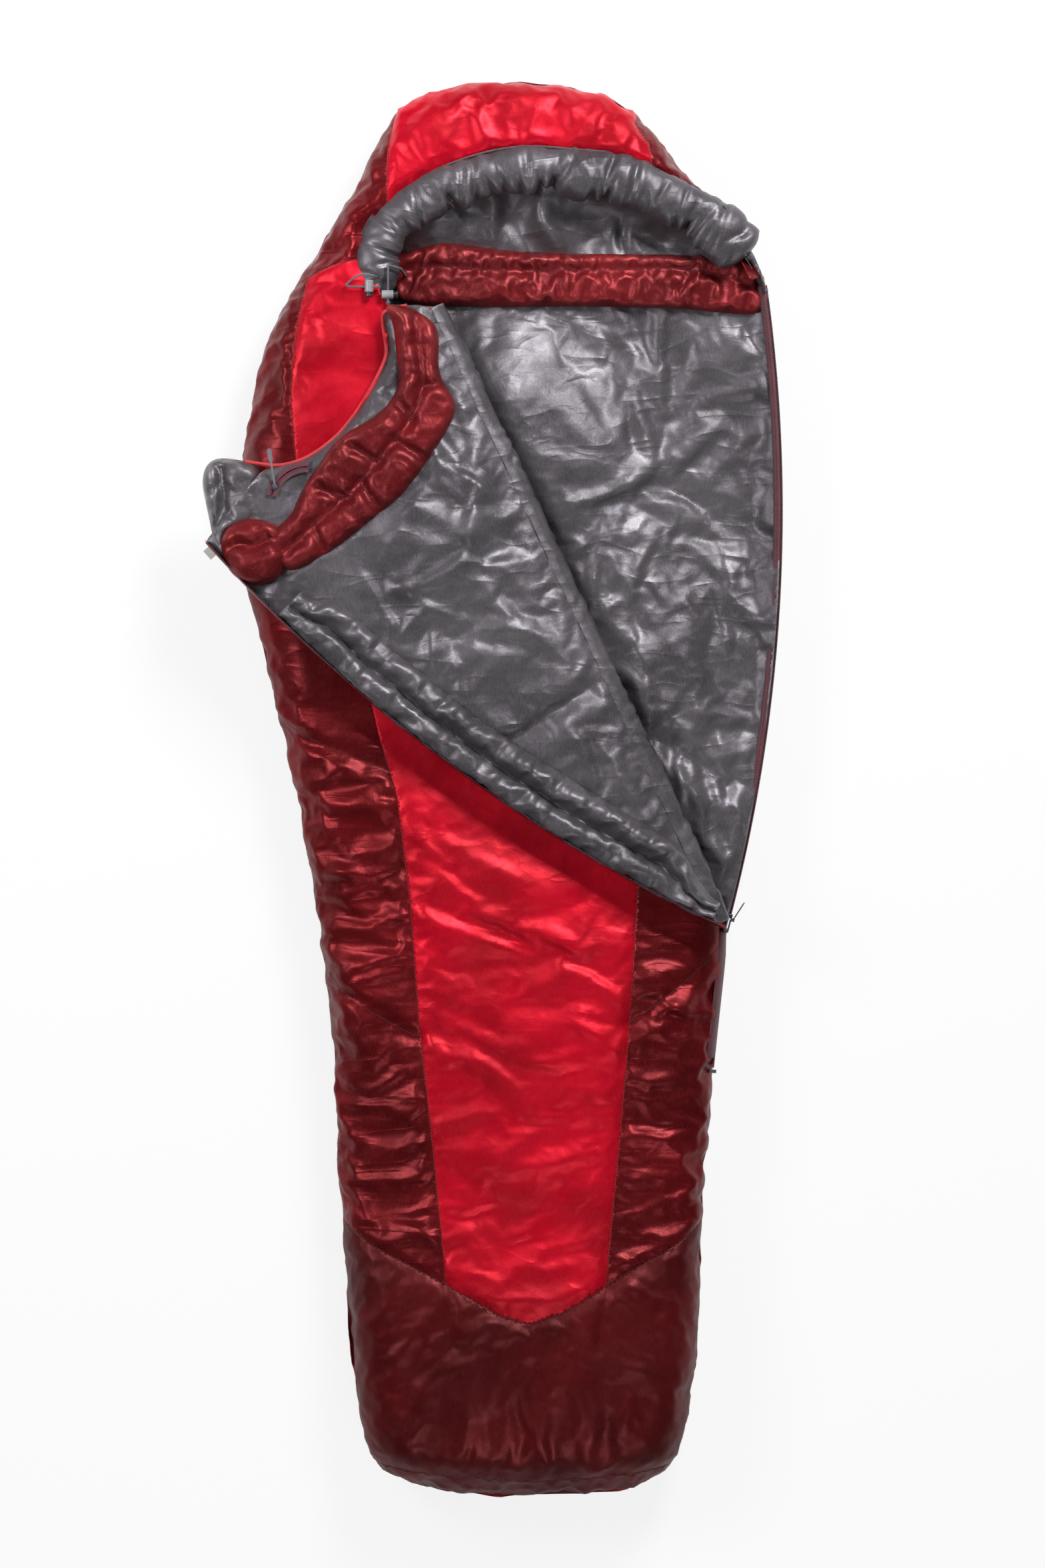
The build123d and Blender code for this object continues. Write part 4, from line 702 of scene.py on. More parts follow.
STEEL = solid("spring_steel", srgb(150, 150, 156), srgb(110, 110, 118), 0.28, 1.0, 200.0, 0.08)
TAB = woven("hook_tab", srgb(214, 212, 204), srgb(190, 188, 180), srgb(236, 234, 228), 700.0)


# ---------------------------------------------------- bag: front, foot, hood
RB = 62.0  # width of the rounded edge, in plan
ARC_TOP = 106.0  # its length over the curve


def edge_frame(p):
    d, foot, nrm, along = to_line(p, OUTLINE, True)
    ins = inside(p, OUTLINE)
    away = np.where(ins[:, None], p - foot, foot - p)
    ln = np.linalg.norm(away, axis=1, keepdims=True)
    inward = np.where(ln > 0.6, away / np.maximum(ln, 1e-9), nrm)
    # the outline runs with its inner side to one hand throughout
    return np.where(ins, d, -d), foot, inward, along


def flap_cover(p):
    """1 where the folded corner lies on the front, falling to 0 well clear of it."""
    d = to_line(p, REST_FLAP, True)[0]
    d = np.where(inside(p, REST_FLAP), 0, d)
    return 1 - step01(d, 12, 120)


GROOVES = [smooth(c, 2) for c in CHEVRONS] + [A(SEAM_LEFT), A(SEAM_RIGHT), A(VEE)]


def front_height(p):
    y = p[:, 1]
    cover = flap_cover(p)
    ins = np.maximum(edge_frame(p)[0], 0)
    crown = 16.0 * step01(ins, 20, 190)
    foot = 14.0 * step01(-y, 600, 800) * (1 - step01(-y, 950, 1046))
    h = 129.5 + (1 - cover) * (crown + foot) * np.where(y > 500, 0.3, 1.0)
    h = h - 14.0 * step01(-y, 985, 1050)
    for i, g in enumerate(GROOVES):
        d = to_line(p, g)[0]
        depth = 9.0 if i < 3 else (3.0 if i < 5 else 5.0)
        wide = 12.0 if i < 3 else 9.0
        h = h - depth * np.exp(-(d / wide) ** 2) * (1 - 0.8 * cover)
    h = h + 2.5 * value_noise(p, 110, 3) * (1 - cover)
    tuck = (1 - step01(to_line(p, RIM)[0], 15, 46)) * step01(y, 735, 790)
    seam = np.minimum(to_line(p, A(SEAM_LEFT))[0], to_line(p, A(SEAM_RIGHT))[0])
    seam = np.minimum(seam, to_line(p, A(VEE))[0])
    free = (0.25 + 0.75 * step01(seam, 2, 16)) * (1 - 0.9 * cover)
    # the hood dips to its seam behind the puffy rim
    return h + front_creases(p) * free * (1 - 0.75 * tuck) - 21.0 * tuck


def front_creases(p):
    in_l, in_r = inside(p, LEFT_ZONE), inside(p, RIGHT_ZONE)
    mid = ~in_l & ~in_r
    foot, hood = inside(p, FOOT_ZONE), inside(p, HOOD_ZONE)
    body = ~foot & ~hood
    h = creases(p, 46, box_area(-345, -330, -160, 260), 4, 16, (70, 170), (7, 13), (3.0, 7.5), 101, in_l & body)
    h += creases(p, 26, box_area(-300, -700, -120, -300), 8, 14, (60, 150), (6, 12), (1.5, 5.0), 102, in_l & body)
    h += creases(p, 16, box_area(-420, 330, -340, 760), 80, 22, (50, 120), (6, 11), (2.0, 4.5), 103, in_l & body)
    h += creases(p, 16, box_area(150, -340, 300, -190), -16, 20, (60, 140), (7, 12), (2.5, 5.5), 104, in_r & body)
    h += creases(p, 20, box_area(130, -700, 290, -330), 12, 16, (50, 130), (6, 11), (1.5, 4.5), 105, in_r & body)
    h += creases(p, 30, box_area(-190, -420, 160, 40), -27, 9, (110, 260), (10, 17), (2.5, 5.5), 106, mid & body)
    h += creases(p, 16, box_area(-150, -760, 140, -330), 8, 12, (50, 130), (7, 12), (2.0, 4.5), 107, mid & body)
    h += creases(p, 14, box_area(-330, 480, -220, 770), 62, 24, (50, 110), (8, 13), (1.5, 4.0), 108, mid & body)
    h += creases(p, 22, box_area(-190, 930, 180, 1040), lambda c: 90 - c[0] * 0.16, 14, (40, 90), (7, 12), (1.5, 4.0), 109, hood)
    h += creases(p, 16, box_area(-330, 790, -200, 960), 50, 18, (60, 130), (8, 13), (2.0, 4.5), 110, hood)
    h += creases(p, 8, box_area(200, 800, 330, 930), -50, 18, (40, 90), (7, 11), (1.5, 3.5), 111, hood)
    h += creases(p, 60, box_area(-225, -1008, 225, -905), lambda c: 90 + c[0] * 0.08, 9, (50, 130), (5.5, 9), (1.5, 3.5), 112, foot)
    h += creases(p, 34, box_area(-250, -900, 240, -650), lambda c: 10 - 22 * np.sign(c[0]), 24, (40, 110), (7, 12), (1.0, 3.0), 113, foot)
    h += creases(p, 44, box_area(-215, -1045, 215, -1012), 90, 8, (24, 44), (4.5, 7), (1.2, 2.6), 114, foot)
    h += creases(p, 22, box_area(-250, -760, 250, -640), 90, 22, (22, 50), (5, 8), (1.2, 2.8), 115, foot)
    return h


def front_place(p):
    """Unrolled front point to its place in space."""
    d, foot, inward, along = edge_frame(p)
    th = np.clip((RB - d) / ARC_TOP, 0, 1) * math.pi / 2
    inset = RB * (1 - np.sin(th))
    plan = np.where((d < RB)[:, None], foot + inward * inset[:, None], p)
    h = front_height(np.where((d < RB)[:, None], foot + inward * np.maximum(inset, 14.0)[:, None], p))
    z = ZM + (h - ZM) * np.cos(th)
    # the fabric draws in a little between gathers along the side seam
    wob = 2.2 * value_noise(np.stack([along, along * 0], -1), 26, 11) + 1.6 * value_noise(np.stack([along, along * 0 + 50], -1), 60, 12)
    plan = plan + inward * (np.clip(wob + 1.5, 0, 5) * np.sin(th) ** 2)[:, None]
    return np.column_stack([plan, z])


EXT = ARC_TOP - RB


def front_domain(p):
    d, foot, inward, along = edge_frame(p)
    return (d > -EXT + 0.01) & ~inside(p, OPENING)


def clip_line(line, step, test):
    l = resample(line, step)
    ok = test(l)
    runs, cur = [], []
    for q, o in zip(l, ok):
        if o:
            cur.append(q)
        elif cur:
            runs.append(A(cur))
            cur = []
    if cur:
        runs.append(A(cur))
    return [r for r in runs if len(r) > 1]


STEP = 7.0
rim_edge = resample(OUTLINE, STEP, True)
_, _, inn, _ = edge_frame(rim_edge + 0.0)
_d, _f, _n, _a = to_line(rim_edge, OUTLINE, True)
outer_pts = rim_edge - _n * (EXT - 0.3) if inside(rim_edge[:1] + _n[:1] * 2, OUTLINE)[0] else rim_edge + _n * (EXT - 0.3)
outer_ok = edge_frame(outer_pts)[0] < -EXT + 2.5
test_front = lambda q: front_domain(q)
seams = []
for l in ([A(SEAM_LEFT), A(SEAM_RIGHT), A(VEE), A(FOOT_END), A(SHOULDER), A(CROWN_LEFT), A(CROWN_RIGHT)] + [smooth(c, 2) for c in CHEVRONS]):
    seams += clip_line(l, STEP, lambda q: front_domain(q))
open_edge = clip_line(np.vstack([OPENING, OPENING[:1]]), STEP, lambda q: edge_frame(q)[0] > -EXT + 1.0)
ring = [outer_pts[outer_ok & ~inside(outer_pts, OPENING)]]
pts, tri, on = sheet(front_domain, seams + open_edge + [np.vstack([r[i:i + 2]]) for r in ring for i in range(0, len(r) - 1, 2)], STEP, (-500, -1130, 430, 1130))
cen = pts[tri].mean(1)
zone = np.zeros(len(tri), int)
in_hood, in_foot, in_end = inside(cen, HOOD_ZONE), inside(cen, FOOT_ZONE), inside(cen, END_ZONE)
in_left, in_right, in_crown = inside(cen, LEFT_ZONE), inside(cen, RIGHT_ZONE), inside(cen, CROWN_ZONE)
zone[:] = 0
zone[in_left] = 1
zone[in_right] = 2
zone[in_hood] = np.where(in_crown[in_hood], 3, np.where(cen[in_hood, 0] < 0, 4, 5))
zone[in_foot] = 6
zone[in_end] = 7
PANELS = {
    0: ("front_center_cloth", RED, "shell_red", ("front_center_panel", "front_insulation", "front_liner"), (1.012, 1.03, 1.01)),
    1: ("front_left_cloth", MAROON, "shell_maroon", ("front_left_panel",), (1.01, 1.085, 1.03)),
    2: ("front_right_cloth", MAROON, "shell_maroon", ("front_right_panel",), (1.01, 1.085, 1.03)),
    3: ("hood_crown_cloth", RED, "shell_red", ("hood_crown_panel", "hood_insulation"), (1.05, 1.03, 1.03)),
    4: ("hood_left_cloth", MAROON, "shell_maroon", ("hood_left_panel",), (1.04, 1.07, 1.03)),
    5: ("hood_right_cloth", MAROON, "shell_maroon", ("hood_right_panel",), (1.04, 1.07, 1.03)),
    6: ("footbox_cloth", DARK, "shell_dark_maroon", ("footbox_shell", "footbox_insulation", "footbox_liner"), (1.03, 1.02, 1.02)),
    7: ("foot_end_cloth", DARK, "shell_dark_maroon", ("footbox_end_panel",), (1.09, 1.02, 1.02)),
}
FRONT_TOPS = {}
for z, (name, mat, slot, nodes, rest) in PANELS.items():
    t = tri[zone == z]
    used = np.unique(t)
    re = np.full(len(pts), -1)
    re[used] = np.arange(len(used))
    p, t, o = pts[used], re[t], on[used]
    co = front_place(p)
    pin = border(t, len(p)) | o
    cover = flap_cover(p)
    w = 1 - 0.75 * cover
    co2 = cloth(co, t, pin, rest, frames=16, pressure=0.5, cap=11.0 if z != 7 else 7.0, bend=0.15, weight=w)
    lim = np.where(cover > 0.97, 131.6, 999.0)
    co2[:, 2] = np.minimum(co2[:, 2], lim)
    ob = make(name, co2, t[:, ::1], mat, "bag")
    thicken(ob, 1.0, fine=True)
    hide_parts(*nodes)
    FRONT_TOPS[z] = (p, co2)

# ------------------------------------------------------------- bag: underside
RB2, ARC_LOW = 44.0, 80.0
EXT2 = ARC_LOW - RB2


def back_place(p):
    d, foot, inward, along = edge_frame(p)
    th = np.clip((RB2 - d) / ARC_LOW, 0, 1) * math.pi / 2
    inset = RB2 * (1 - np.sin(th))
    plan = np.where((d < RB2)[:, None], foot + inward * inset[:, None], p)
    z = 0.6 + (ZM - 0.6) * (1 - np.cos(th))
    wob = 2.2 * value_noise(np.stack([along, along * 0], -1), 26, 11) + 1.6 * value_noise(np.stack([along, along * 0 + 50], -1), 60, 12)
    plan = plan + inward * (np.clip(wob + 1.5, 0, 5) * np.sin(th) ** 2)[:, None]
    return np.column_stack([plan, z])


outer2 = rim_edge + (outer_pts - rim_edge) / (EXT - 0.3) * (EXT2 - 0.3)
ok2 = edge_frame(outer2)[0] < -EXT2 + 2.5
o2 = outer2[ok2]
pts2, tri2, on2 = sheet(lambda p: edge_frame(p)[0] > -EXT2 + 0.01, [o2[i:i + 2] for i in range(0, len(o2) - 1, 2)], 10.0, (-500, -1130, 430, 1130))
co = back_place(pts2)
pin = border(tri2, len(pts2)) | (edge_frame(pts2)[0] > 55)
co2 = cloth(co, tri2, pin, (1.03, 1.05, 1.03), frames=12, pressure=0.3, cap=7.0, bend=0.2)
co2[:, 2] = np.maximum(co2[:, 2], 0.3)
ob = make("back_shell_cloth", co2, tri2[:, ::-1], MAROON, "bag")
thicken(ob, 1.0)
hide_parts("back_outer_shell", "back_insulation")
BACK_ON = (pts2, co2)


# ------------------------------------------------- back liner and hood lining
ZC = np.linspace(-14.6, 8.2, 60)
LINER_AREA = np.vstack([
    on_zip(ZC, -2.6), A([(340.0, 792.0), (300.0, 842.0), (250.0, 880.0), (190.0, 922.0), (130.0, 948.0), (50.0, 955.0),
    (-20.0, 955.0), (-90.0, 946.0), (-150.0, 920.0), (-205.0, 885.0), (-232.0, 830.0), (-245.0, 780.0), (-245.0, 735.0)]),
    A([tuple(on_fold(985.0, -75.0)), tuple(on_fold(-30.0, -75.0)), (268.0, -240.0)])])
FOLD_WRINKLES = [
    # (path, height, width): the big soft folds in the lining
    ([(16.0, 866.0), (28.0, 840.0), (60.0, 815.0)], 16.0, 15.0),
    ([(64.0, 612.0), (90.0, 560.0), (140.0, 500.0), (194.0, 461.0)], 7.0, 24.0),
    ([(54.0, 494.0), (110.0, 478.0), (194.0, 461.0)], 5.0, 20.0),
    ([(130.0, 640.0), (170.0, 560.0), (194.0, 461.0)], 6.0, 22.0),
    ([(300.0, 560.0), (250.0, 500.0), (194.0, 461.0)], 5.0, 20.0),
    ([(187.0, 78.0), (215.0, 20.0), (240.0, -60.0)], 6.0, 14.0),
    ([(250.0, 40.0), (262.0, -30.0), (272.0, -120.0)], 5.0, 11.0),
    ([(150.0, 260.0), (180.0, 180.0), (187.0, 78.0)], 6.0, 20.0),
]


def wrinkles(p, table):
    h = np.zeros(len(p))
    for path, amp, wide in table:
        l = smooth(A(path), 3)
        d, f, nr, al = to_line(p, l)
        total = np.hypot(*np.diff(l, axis=0).T).sum()
        fade = np.sin(np.clip(al / total, 0.02, 0.98) * math.pi) ** 0.5
        side = np.sign(((p - f) * nr).sum(1))
        w = np.where(side > 0, wide * 0.55, wide * 1.3)
        h += amp * fade * np.exp(-(d / w) ** 2)
    return h


def liner_height(p):
    dz = np.abs(np.hypot(p[:, 0] - ZIP_C[0], p[:, 1] - ZIP_C[1]) - (ZIP_R - 2.6))
    on_arc = p[:, 1] < 770
    up_zip = np.where(on_arc, 20.0 * np.exp(-(dz / 22.0)), 0.0)
    nf = (p - FOLD_A) @ FN
    up_fold = 44.0 * np.exp(-(np.maximum(nf - 26, 0) / 120.0) ** 2) * (0.80 + 0.20 * step01(nf, 2, 30)) * (1 - step01(p[:, 1], 560, 720))
    up_fold = np.where(nf < 0, 26.0 * np.exp(-(nf / 60.0) ** 2) * (1 - step01(p[:, 1], 640, 708)), up_fold)
    drim = to_line(p, RIM)[0]
    up_rim = 44.0 * np.exp(-((np.maximum(drim - 14, 0)) / 26.0) ** 1.4) * step01(p[:, 1], 735, 800)
    outside_rim = ~inside(p, np.vstack([RIM, A([(328, 700), (-211, 700)])])) & (p[:, 1] > 735)
    up_rim = np.where(outside_rim, 44.0, up_rim)
    h = 50.0 + np.maximum(np.maximum(up_zip, up_fold), up_rim)
    h += 10.0 * np.exp(-(((p[:, 1] - 250) / 260) ** 2)) * step01(nf, 30, 120) * (dz > 0)
    for l, depth, wide in ((LSEAM_BACK, 8.0, 20.0), (LSEAM_LOW, 8.0, 18.0)):
        h -= depth * np.exp(-(to_line(p, A(l))[0] / wide) ** 2)
    h += wrinkles(p, FOLD_WRINKLES)
    h += 4.5 * value_noise(p, 120, 21) * step01(dz, 8, 50)
    deep = step01(p[:, 1], 790, 830)
    h += deep * (13.0 * value_noise(p * (1.0, 0.55), 62, 22)) * np.exp(-np.maximum(30 - drim, 0) / 14)
    calm = step01(dz, 2, 14) * step01(nf, -20, 5)
    h += calm * creases(p, 16, box_area(60, 480, 370, 700), lambda c: math.degrees(math.atan2(c[1] - 461, c[0] - 194)), 12, (100, 250), (9, 17), (2.5, 6.5), 201)
    h += calm * creases(p, 22, box_area(60, 200, 370, 460), lambda c: math.degrees(math.atan2(c[1] - 461, c[0] - 150)), 22, (80, 220), (7, 13), (1.8, 5.0), 202)
    h += calm * creases(p, 40, box_area(180, -160, 330, 80), -72, 16, (50, 150), (6, 11), (2.5, 6.0), 203)
    h += calm * creases(p, 34, box_area(330, -100, 385, 740), 100, 24, (30, 80), (6, 10), (1.5, 4.0), 204)
    h += calm * creases(p, 18, box_area(90, 60, 300, 260), -58, 20, (60, 160), (9, 16), (2.0, 5.0), 205)
    h += deep * creases(p, 16, box_area(-180, 800, 300, 890), lambda c: 90 - c[0] * 0.2, 30, (50, 130), (8, 15), (5.0, 12.0), 206)
    return h


ldom = lambda p: inside(p, LINER_AREA)
llines = []
for l in (A(LSEAM_BACK), A(LSEAM_LOW)):
    llines += clip_line(l, 6.0, ldom)
edge_l = resample(LINER_AREA, 7.0, True)
p, t, o = sheet(ldom, llines + [np.vstack([edge_l, edge_l[:1]])], 7.0, (-260, -260, 400, 970))
co = np.column_stack([p, liner_height(p)])
pin = border(t, len(p)) | o | ((p - FOLD_A) @ FN < -40) | inside(p, np.vstack([BC_TOP + (0, -8), BC_LOW[::-1] + (0, 8)]))
angle = math.radians(-35)
w = np.where(p[:, 1] > 790, 1.0, 0.9)
co2 = cloth(co, t, pin, (1.045, 1.03, 1.02), frames=16, pressure=0.6, cap=10.0, bend=0.3, weight=w)
under_collar = inside(p, np.vstack([BC_TOP + (0, -3), BC_LOW[::-1] + (0, 3)]))
co2[under_collar, 2] = np.minimum(co2[under_collar, 2], 56.0)
ob = make("back_liner_cloth", co2, t, GREY, "bag")
thicken(ob, 0.8, fine=True)
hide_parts("back_liner")
LINER = (p, co2)

# lining of the hood's roof, seen when looking in under the rim
rows = []
rl = resample(smooth(RIM, 2), 8.0)
_, _, rn, _ = to_line(rl, RIM)
cx = A((20.0, 800.0))
outw = rl - cx
outw /= np.linalg.norm(outw, axis=1, keepdims=True)
for o_, z_ in ((6.0, 100.0), (22.0, 94.0), (44.0, 90.0), (58.0, 84.0), (56.0, 76.0), (34.0, 66.0)):
    q = rl + outw * o_
    dd, ff, ii, _ = edge_frame(q)
    lim = np.maximum(14.0 - dd, 0)
    q = q + ii * lim[:, None]
    rows.append(np.column_stack([q, z_ + 2.5 * value_noise(q, 24, 33)]))
co_, f_ = loft(rows)
ob = make("hood_roof_lining", co_, f_, GREY, "bag")
thicken(ob, 0.8, 1.0)
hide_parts("hood_liner")

# underside lining of the fixed front, seen from the open side
rows = []
for n_, z_ in ((-4.0, 92.0), (-30.0, 86.0), (-80.0, 84.0), (-130.0, 80.0)):
    s_ = np.linspace(-10, 975, 120)
    q = A([on_fold(s, n_) for s in s_])
    rows.append(np.column_stack([q, z_ + 3.0 * value_noise(q, 40, 35)]))
co_, f_ = loft(rows)
ob = make("front_under_lining", co_, f_, GREY, "bag")
thicken(ob, 0.8)

# ------------------------------------------------------------ padded hood rim
path = resample(smooth(RIM, 3), 3.0)
n_ = len(path)
tan = np.gradient(path, axis=0)
tan /= np.linalg.norm(tan, axis=1, keepdims=True)
nor = np.column_stack([tan[:, 1], -tan[:, 0]])
if ((nor[n_ // 2]) @ (cx - path[n_ // 2])) > 0:
    nor = -nor  # outwards
SIDES = 32
s_len = np.arange(n_) * 3.0
pr = np.random.default_rng(43)
pinches = []
at = 10.0
while at < s_len[-1] - 10:
    pinches.append((at, pr.uniform(2.4, 6.0), pr.uniform(3.0, 10.5), pr.uniform(0.25 * math.pi, 1.05 * math.pi), pr.uniform(0.45, 1.4), pr.uniform(-20, 20)))
    at += pr.uniform(9, 24)
end_right = s_len[-1] - s_len
flat = 1 - step01(end_right, 20, 190)
rows = []
for j in range(SIDES):
    a = 2 * math.pi * j / SIDES
    ring_s = np.stack([s_len, np.full(n_, j * 5.0)], -1)
    gather = 1.6 * value_noise(ring_s * (1, 0.3), 13, 41) + 4.6 * value_noise(ring_s * (1, 0.22), 38, 42)
    for at, wide, deep_, mid_a, spread_, slant in pinches:
        gather -= deep_ * np.exp(-((s_len - at - slant * math.cos(a)) / wide) ** 2) * math.exp(-((a - mid_a) / spread_) ** 2)
    inner = max(0.0, -math.cos(a))
    rad = 1.0 + (gather / 27.0) * (0.8 + 0.5 * inner)
    ends = np.minimum(np.clip(s_len / 26.0, 0, 1), np.clip(end_right / 15.0, 0, 1)) ** 0.5
    ends = 0.25 + 0.75 * ends
    off = (34.0 * math.cos(a) - 1.0) * rad * ends * (1 + 0.16 * flat)
    zz = 108.0 - 9.0 * flat + (28.0 - 8.0 * flat) * math.sin(a) * rad * ends
    rows.append(np.column_stack([path + nor * off[:, None], zz]))
rows = np.transpose(np.array(rows), (1, 0, 2))
rr = rows.copy()
co_, f_ = loft(rows, close_v=True)
f_.append(tuple(range(SIDES))[::-1])
f_.append(tuple((n_ - 1) * SIDES + j for j in range(SIDES)))
tri_r = []
for f in f_[:-2]:
    tri_r += [(f[0], f[1], f[2]), (f[0], f[2], f[3])]
tri_r = np.array(tri_r)
ang = np.tile(np.arange(SIDES), n_) * 2 * math.pi / SIDES
ringi = np.repeat(np.arange(n_), SIDES)
pin = (ringi < 2) | (ringi > n_ - 3) | (np.sin(ang) < -0.75) | (np.abs(((ang + 0.2) % (2 * math.pi)) - math.pi) < 0.14)
co2 = cloth(co_, tri_r, pin, (1.05, 1.05, 1.02), frames=14, pressure=1.2, cap=6.0, bend=0.3)
ob = make("hood_rim_puff", co2, f_, GREY, "bag")
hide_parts("hood_rim_tube")
# seam piping where the rim meets the crown
pp = np.column_stack([path + nor * 31.5, np.full(n_, 111.5) + 9.0 * (1 - step01(np.abs(s_len - s_len.mean()), 60, 260))])
co_, f_ = tube(pp[12:-14], 1.4, 8)
ob = make("hood_rim_piping", co_, f_, THREAD_GREY, "bag")


# ------------------------------------------------------- gathered neck collar
def pad(name, poly, lines, height, z0, body, step, rest, nodes, pressure=1.6, frames=20, cap=9.0, edge=16.0, seed=5, knob=None, bend=0.2, folds=None, material=None, belly=None, roof=None):
    """Filled, stitched pad: rises between its outline and its stitch lines, with the cloth gathered onto them."""
    poly = smooth(poly, 2, True)
    dom = lambda q: inside(q, poly)
    ring_ = resample(poly, step, True)
    cl = []
    for l in lines:
        cl += clip_line(smooth(l, 2), step, lambda q: dom(q) & (to_line(q, poly, True)[0] > step * 0.8))
    p, t, o = sheet(dom, cl + [np.vstack([ring_, ring_[:1]])], step)
    de = to_line(p, poly, True)[0]
    prof = np.sqrt(np.clip(1 - (1 - np.clip(de / edge, 0, 1)) ** 2, 0, 1))
    h = height * prof
    for l in cl:
        d = to_line(p, l)[0]
        h = h * (1 - 0.42 * np.exp(-(d / 8.5) ** 2))
    if knob is not None:
        h = h + knob(p) * prof
    h = h + 1.5 * value_noise(p, 30, seed) * prof
    if folds is not None:
        h = h + folds(p) * np.clip(prof, 0, 1)
    z = z0(p) + h
    co = np.column_stack([p, z])
    pin = border(t, len(p)) | o
    co2 = cloth(co, t, pin, rest, frames=frames, pressure=pressure, cap=cap, bend=bend, jitter=0.3)
    if roof is not None:
        over = (co2[:, 2] - roof(co2[:, :2])) / 2.0
        co2[:, 2] -= 2.0 * np.logaddexp(0.0, np.clip(over, -30, 30))
    # lower skin closes the pad
    under = co.copy()
    under[:, 2] = z0(p) - 1.0 - (belly(p) if belly else 0.0) * prof * (1 + 0.16 * value_noise(p, 19, seed + 3))
    n = len(p)
    b = border(t, n)
    e = np.vstack([t[:, [0, 1]], t[:, [1, 2]], t[:, [2, 0]]])
    es = np.sort(e, 1)
    u, inv, c = np.unique(es, axis=0, return_inverse=True, return_counts=True)
    open_e = e[c[inv.ravel()] == 1]
    faces = [tuple(f) for f in t] + [tuple(int(i) + n for i in f[::-1]) for f in t]
    faces += [(int(a_), int(a_) + n, int(b_) + n, int(b_)) for a_, b_ in open_e]
    ob = make(name, np.vstack([co2, under]), faces, material or COLLAR, body)
    if nodes:
        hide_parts(*nodes)
    return p, co2, cl


back_poly = np.vstack([BC_TOP, BC_LOW[::-1]])
BACKCOL = pad("back_collar_pad", back_poly, [BC_MID], 24.0, lambda q: np.full(len(q), 52.0), "bag", 4.6, (1.10, 1.02, 1.02),
              ("back_collar",), edge=17.0, seed=51,
              folds=lambda q: creases(q, 230, box_area(-195, 705, 350, 812), 90, 12, (20, 44), (3.6, 6.5), (1.5, 4.0), 301))


# --------------------------------------------------------------- folded corner
def from_zip(p):
    """Distance inside the folded zip edge."""
    q = turned(p)
    return ZIP_R - np.hypot(q[:, 0] - ZIP_C[0], q[:, 1] - ZIP_C[1])


NECK_REST = turned(FLAP_NECK)
POCKET_C, POCKET_R = A((-317.06, 418.76)), 54.0


def near_pocket(p):
    return 1 - step01(np.abs(np.hypot(*(p - POCKET_C).T) - POCKET_R), 8, 34)


FLAP_WRINKLES = [
    ([(-187.0, 305.0), (-150.0, 298.0), (-110.0, 322.0), (-84.0, 345.0)], 9.0, 13.0),
    ([(-84.0, 345.0), (-82.0, 395.0), (-58.0, 470.0)], 8.0, 15.0),
    ([(-110.0, 470.0), (-70.0, 450.0), (-44.0, 425.0)], 8.0, 11.0),
    ([(-60.0, 300.0), (-20.0, 250.0), (30.0, 235.0)], 5.0, 16.0),
    ([(40.0, 300.0), (60.0, 260.0), (62.0, 225.0)], 5.0, 10.0),
    ([(-250.0, 330.0), (-200.0, 260.0), (-190.0, 220.0)], 6.0, 14.0),
    ([(-110.0, 200.0), (-90.0, 160.0), (-96.0, 120.0)], 6.0, 10.0),
    ([(60.0, 100.0), (90.0, 60.0), (110.0, 0.0)], 6.0, 11.0),
    ([(120.0, 60.0), (160.0, 10.0), (190.0, -50.0)], 6.0, 11.0),
]


def flap_top(p):
    nf = -((p - FOLD_A) @ FN)
    h = 174.0 - 36.0 * np.exp(-np.maximum(nf, 0) / 70.0)
    dn = to_line(p, NECK_REST[1:])[0]
    near = near_pocket(p)
    wide = 24.0 - 17.0 * near
    h -= 20.0 * (1 - np.sqrt(np.clip(1 - (1 - np.clip(dn / wide, 0, 1)) ** 2, 0, 1)))
    h += (176.6 - h) * near * step01(dn, 1, 8)
    dz = from_zip(p)
    h -= 8.0 * (1 - step01(dz, 30, 95)) * (1 - near) * step01(nf, 12, 70)
    h -= 7.0 * np.exp(-(to_line(p, A(LSEAM_FLAP))[0] / 15.0) ** 2) * step01(nf, 12, 42)
    inner = step01(dz, 70, 110) * step01(nf, 20, 60)
    h += wrinkles(p, FLAP_WRINKLES) * inner
    h += 4.0 * value_noise(p, 90, 61) * inner * (1 - near_pocket(p))
    quiet = inner * (1 - near_pocket(p))
    h += quiet * creases(p, 60, A([(-350, 240), (-260, 150), (-60, 20), (220, -140), (240, -60), (0, 110), (-180, 230), (-300, 330)]), 58, 22, (40, 120), (6, 12), (2.5, 6.5), 211)
    h += quiet * creases(p, 18, box_area(-240, 180, 60, 420), 18, 24, (90, 200), (10, 18), (2.5, 6.5), 212)
    h += quiet * creases(p, 12, box_area(-140, 400, -60, 640), -70, 20, (80, 160), (9, 16), (2.0, 5.0), 213)
    h += (1 - near_pocket(p)) * step01(dn, 3, 14) * creases(p, 24, A([(-480, 480), (-360, 480), (-330, 400), (-400, 290), (-460, 330)]), 60, 34, (30, 80), (6, 10), (2.0, 5.5), 214)
    h += step01(dn, 3, 12) * creases(p, 20, A([(-215, 590), (-330, 490), (-300, 450), (-190, 560)]), 45, 20, (24, 60), (5, 8), (1.5, 3.0), 215)
    # the free corner droops over the bag's edge
    h -= 9.0 * step01(-p[:, 0], 425, 480)
    return h


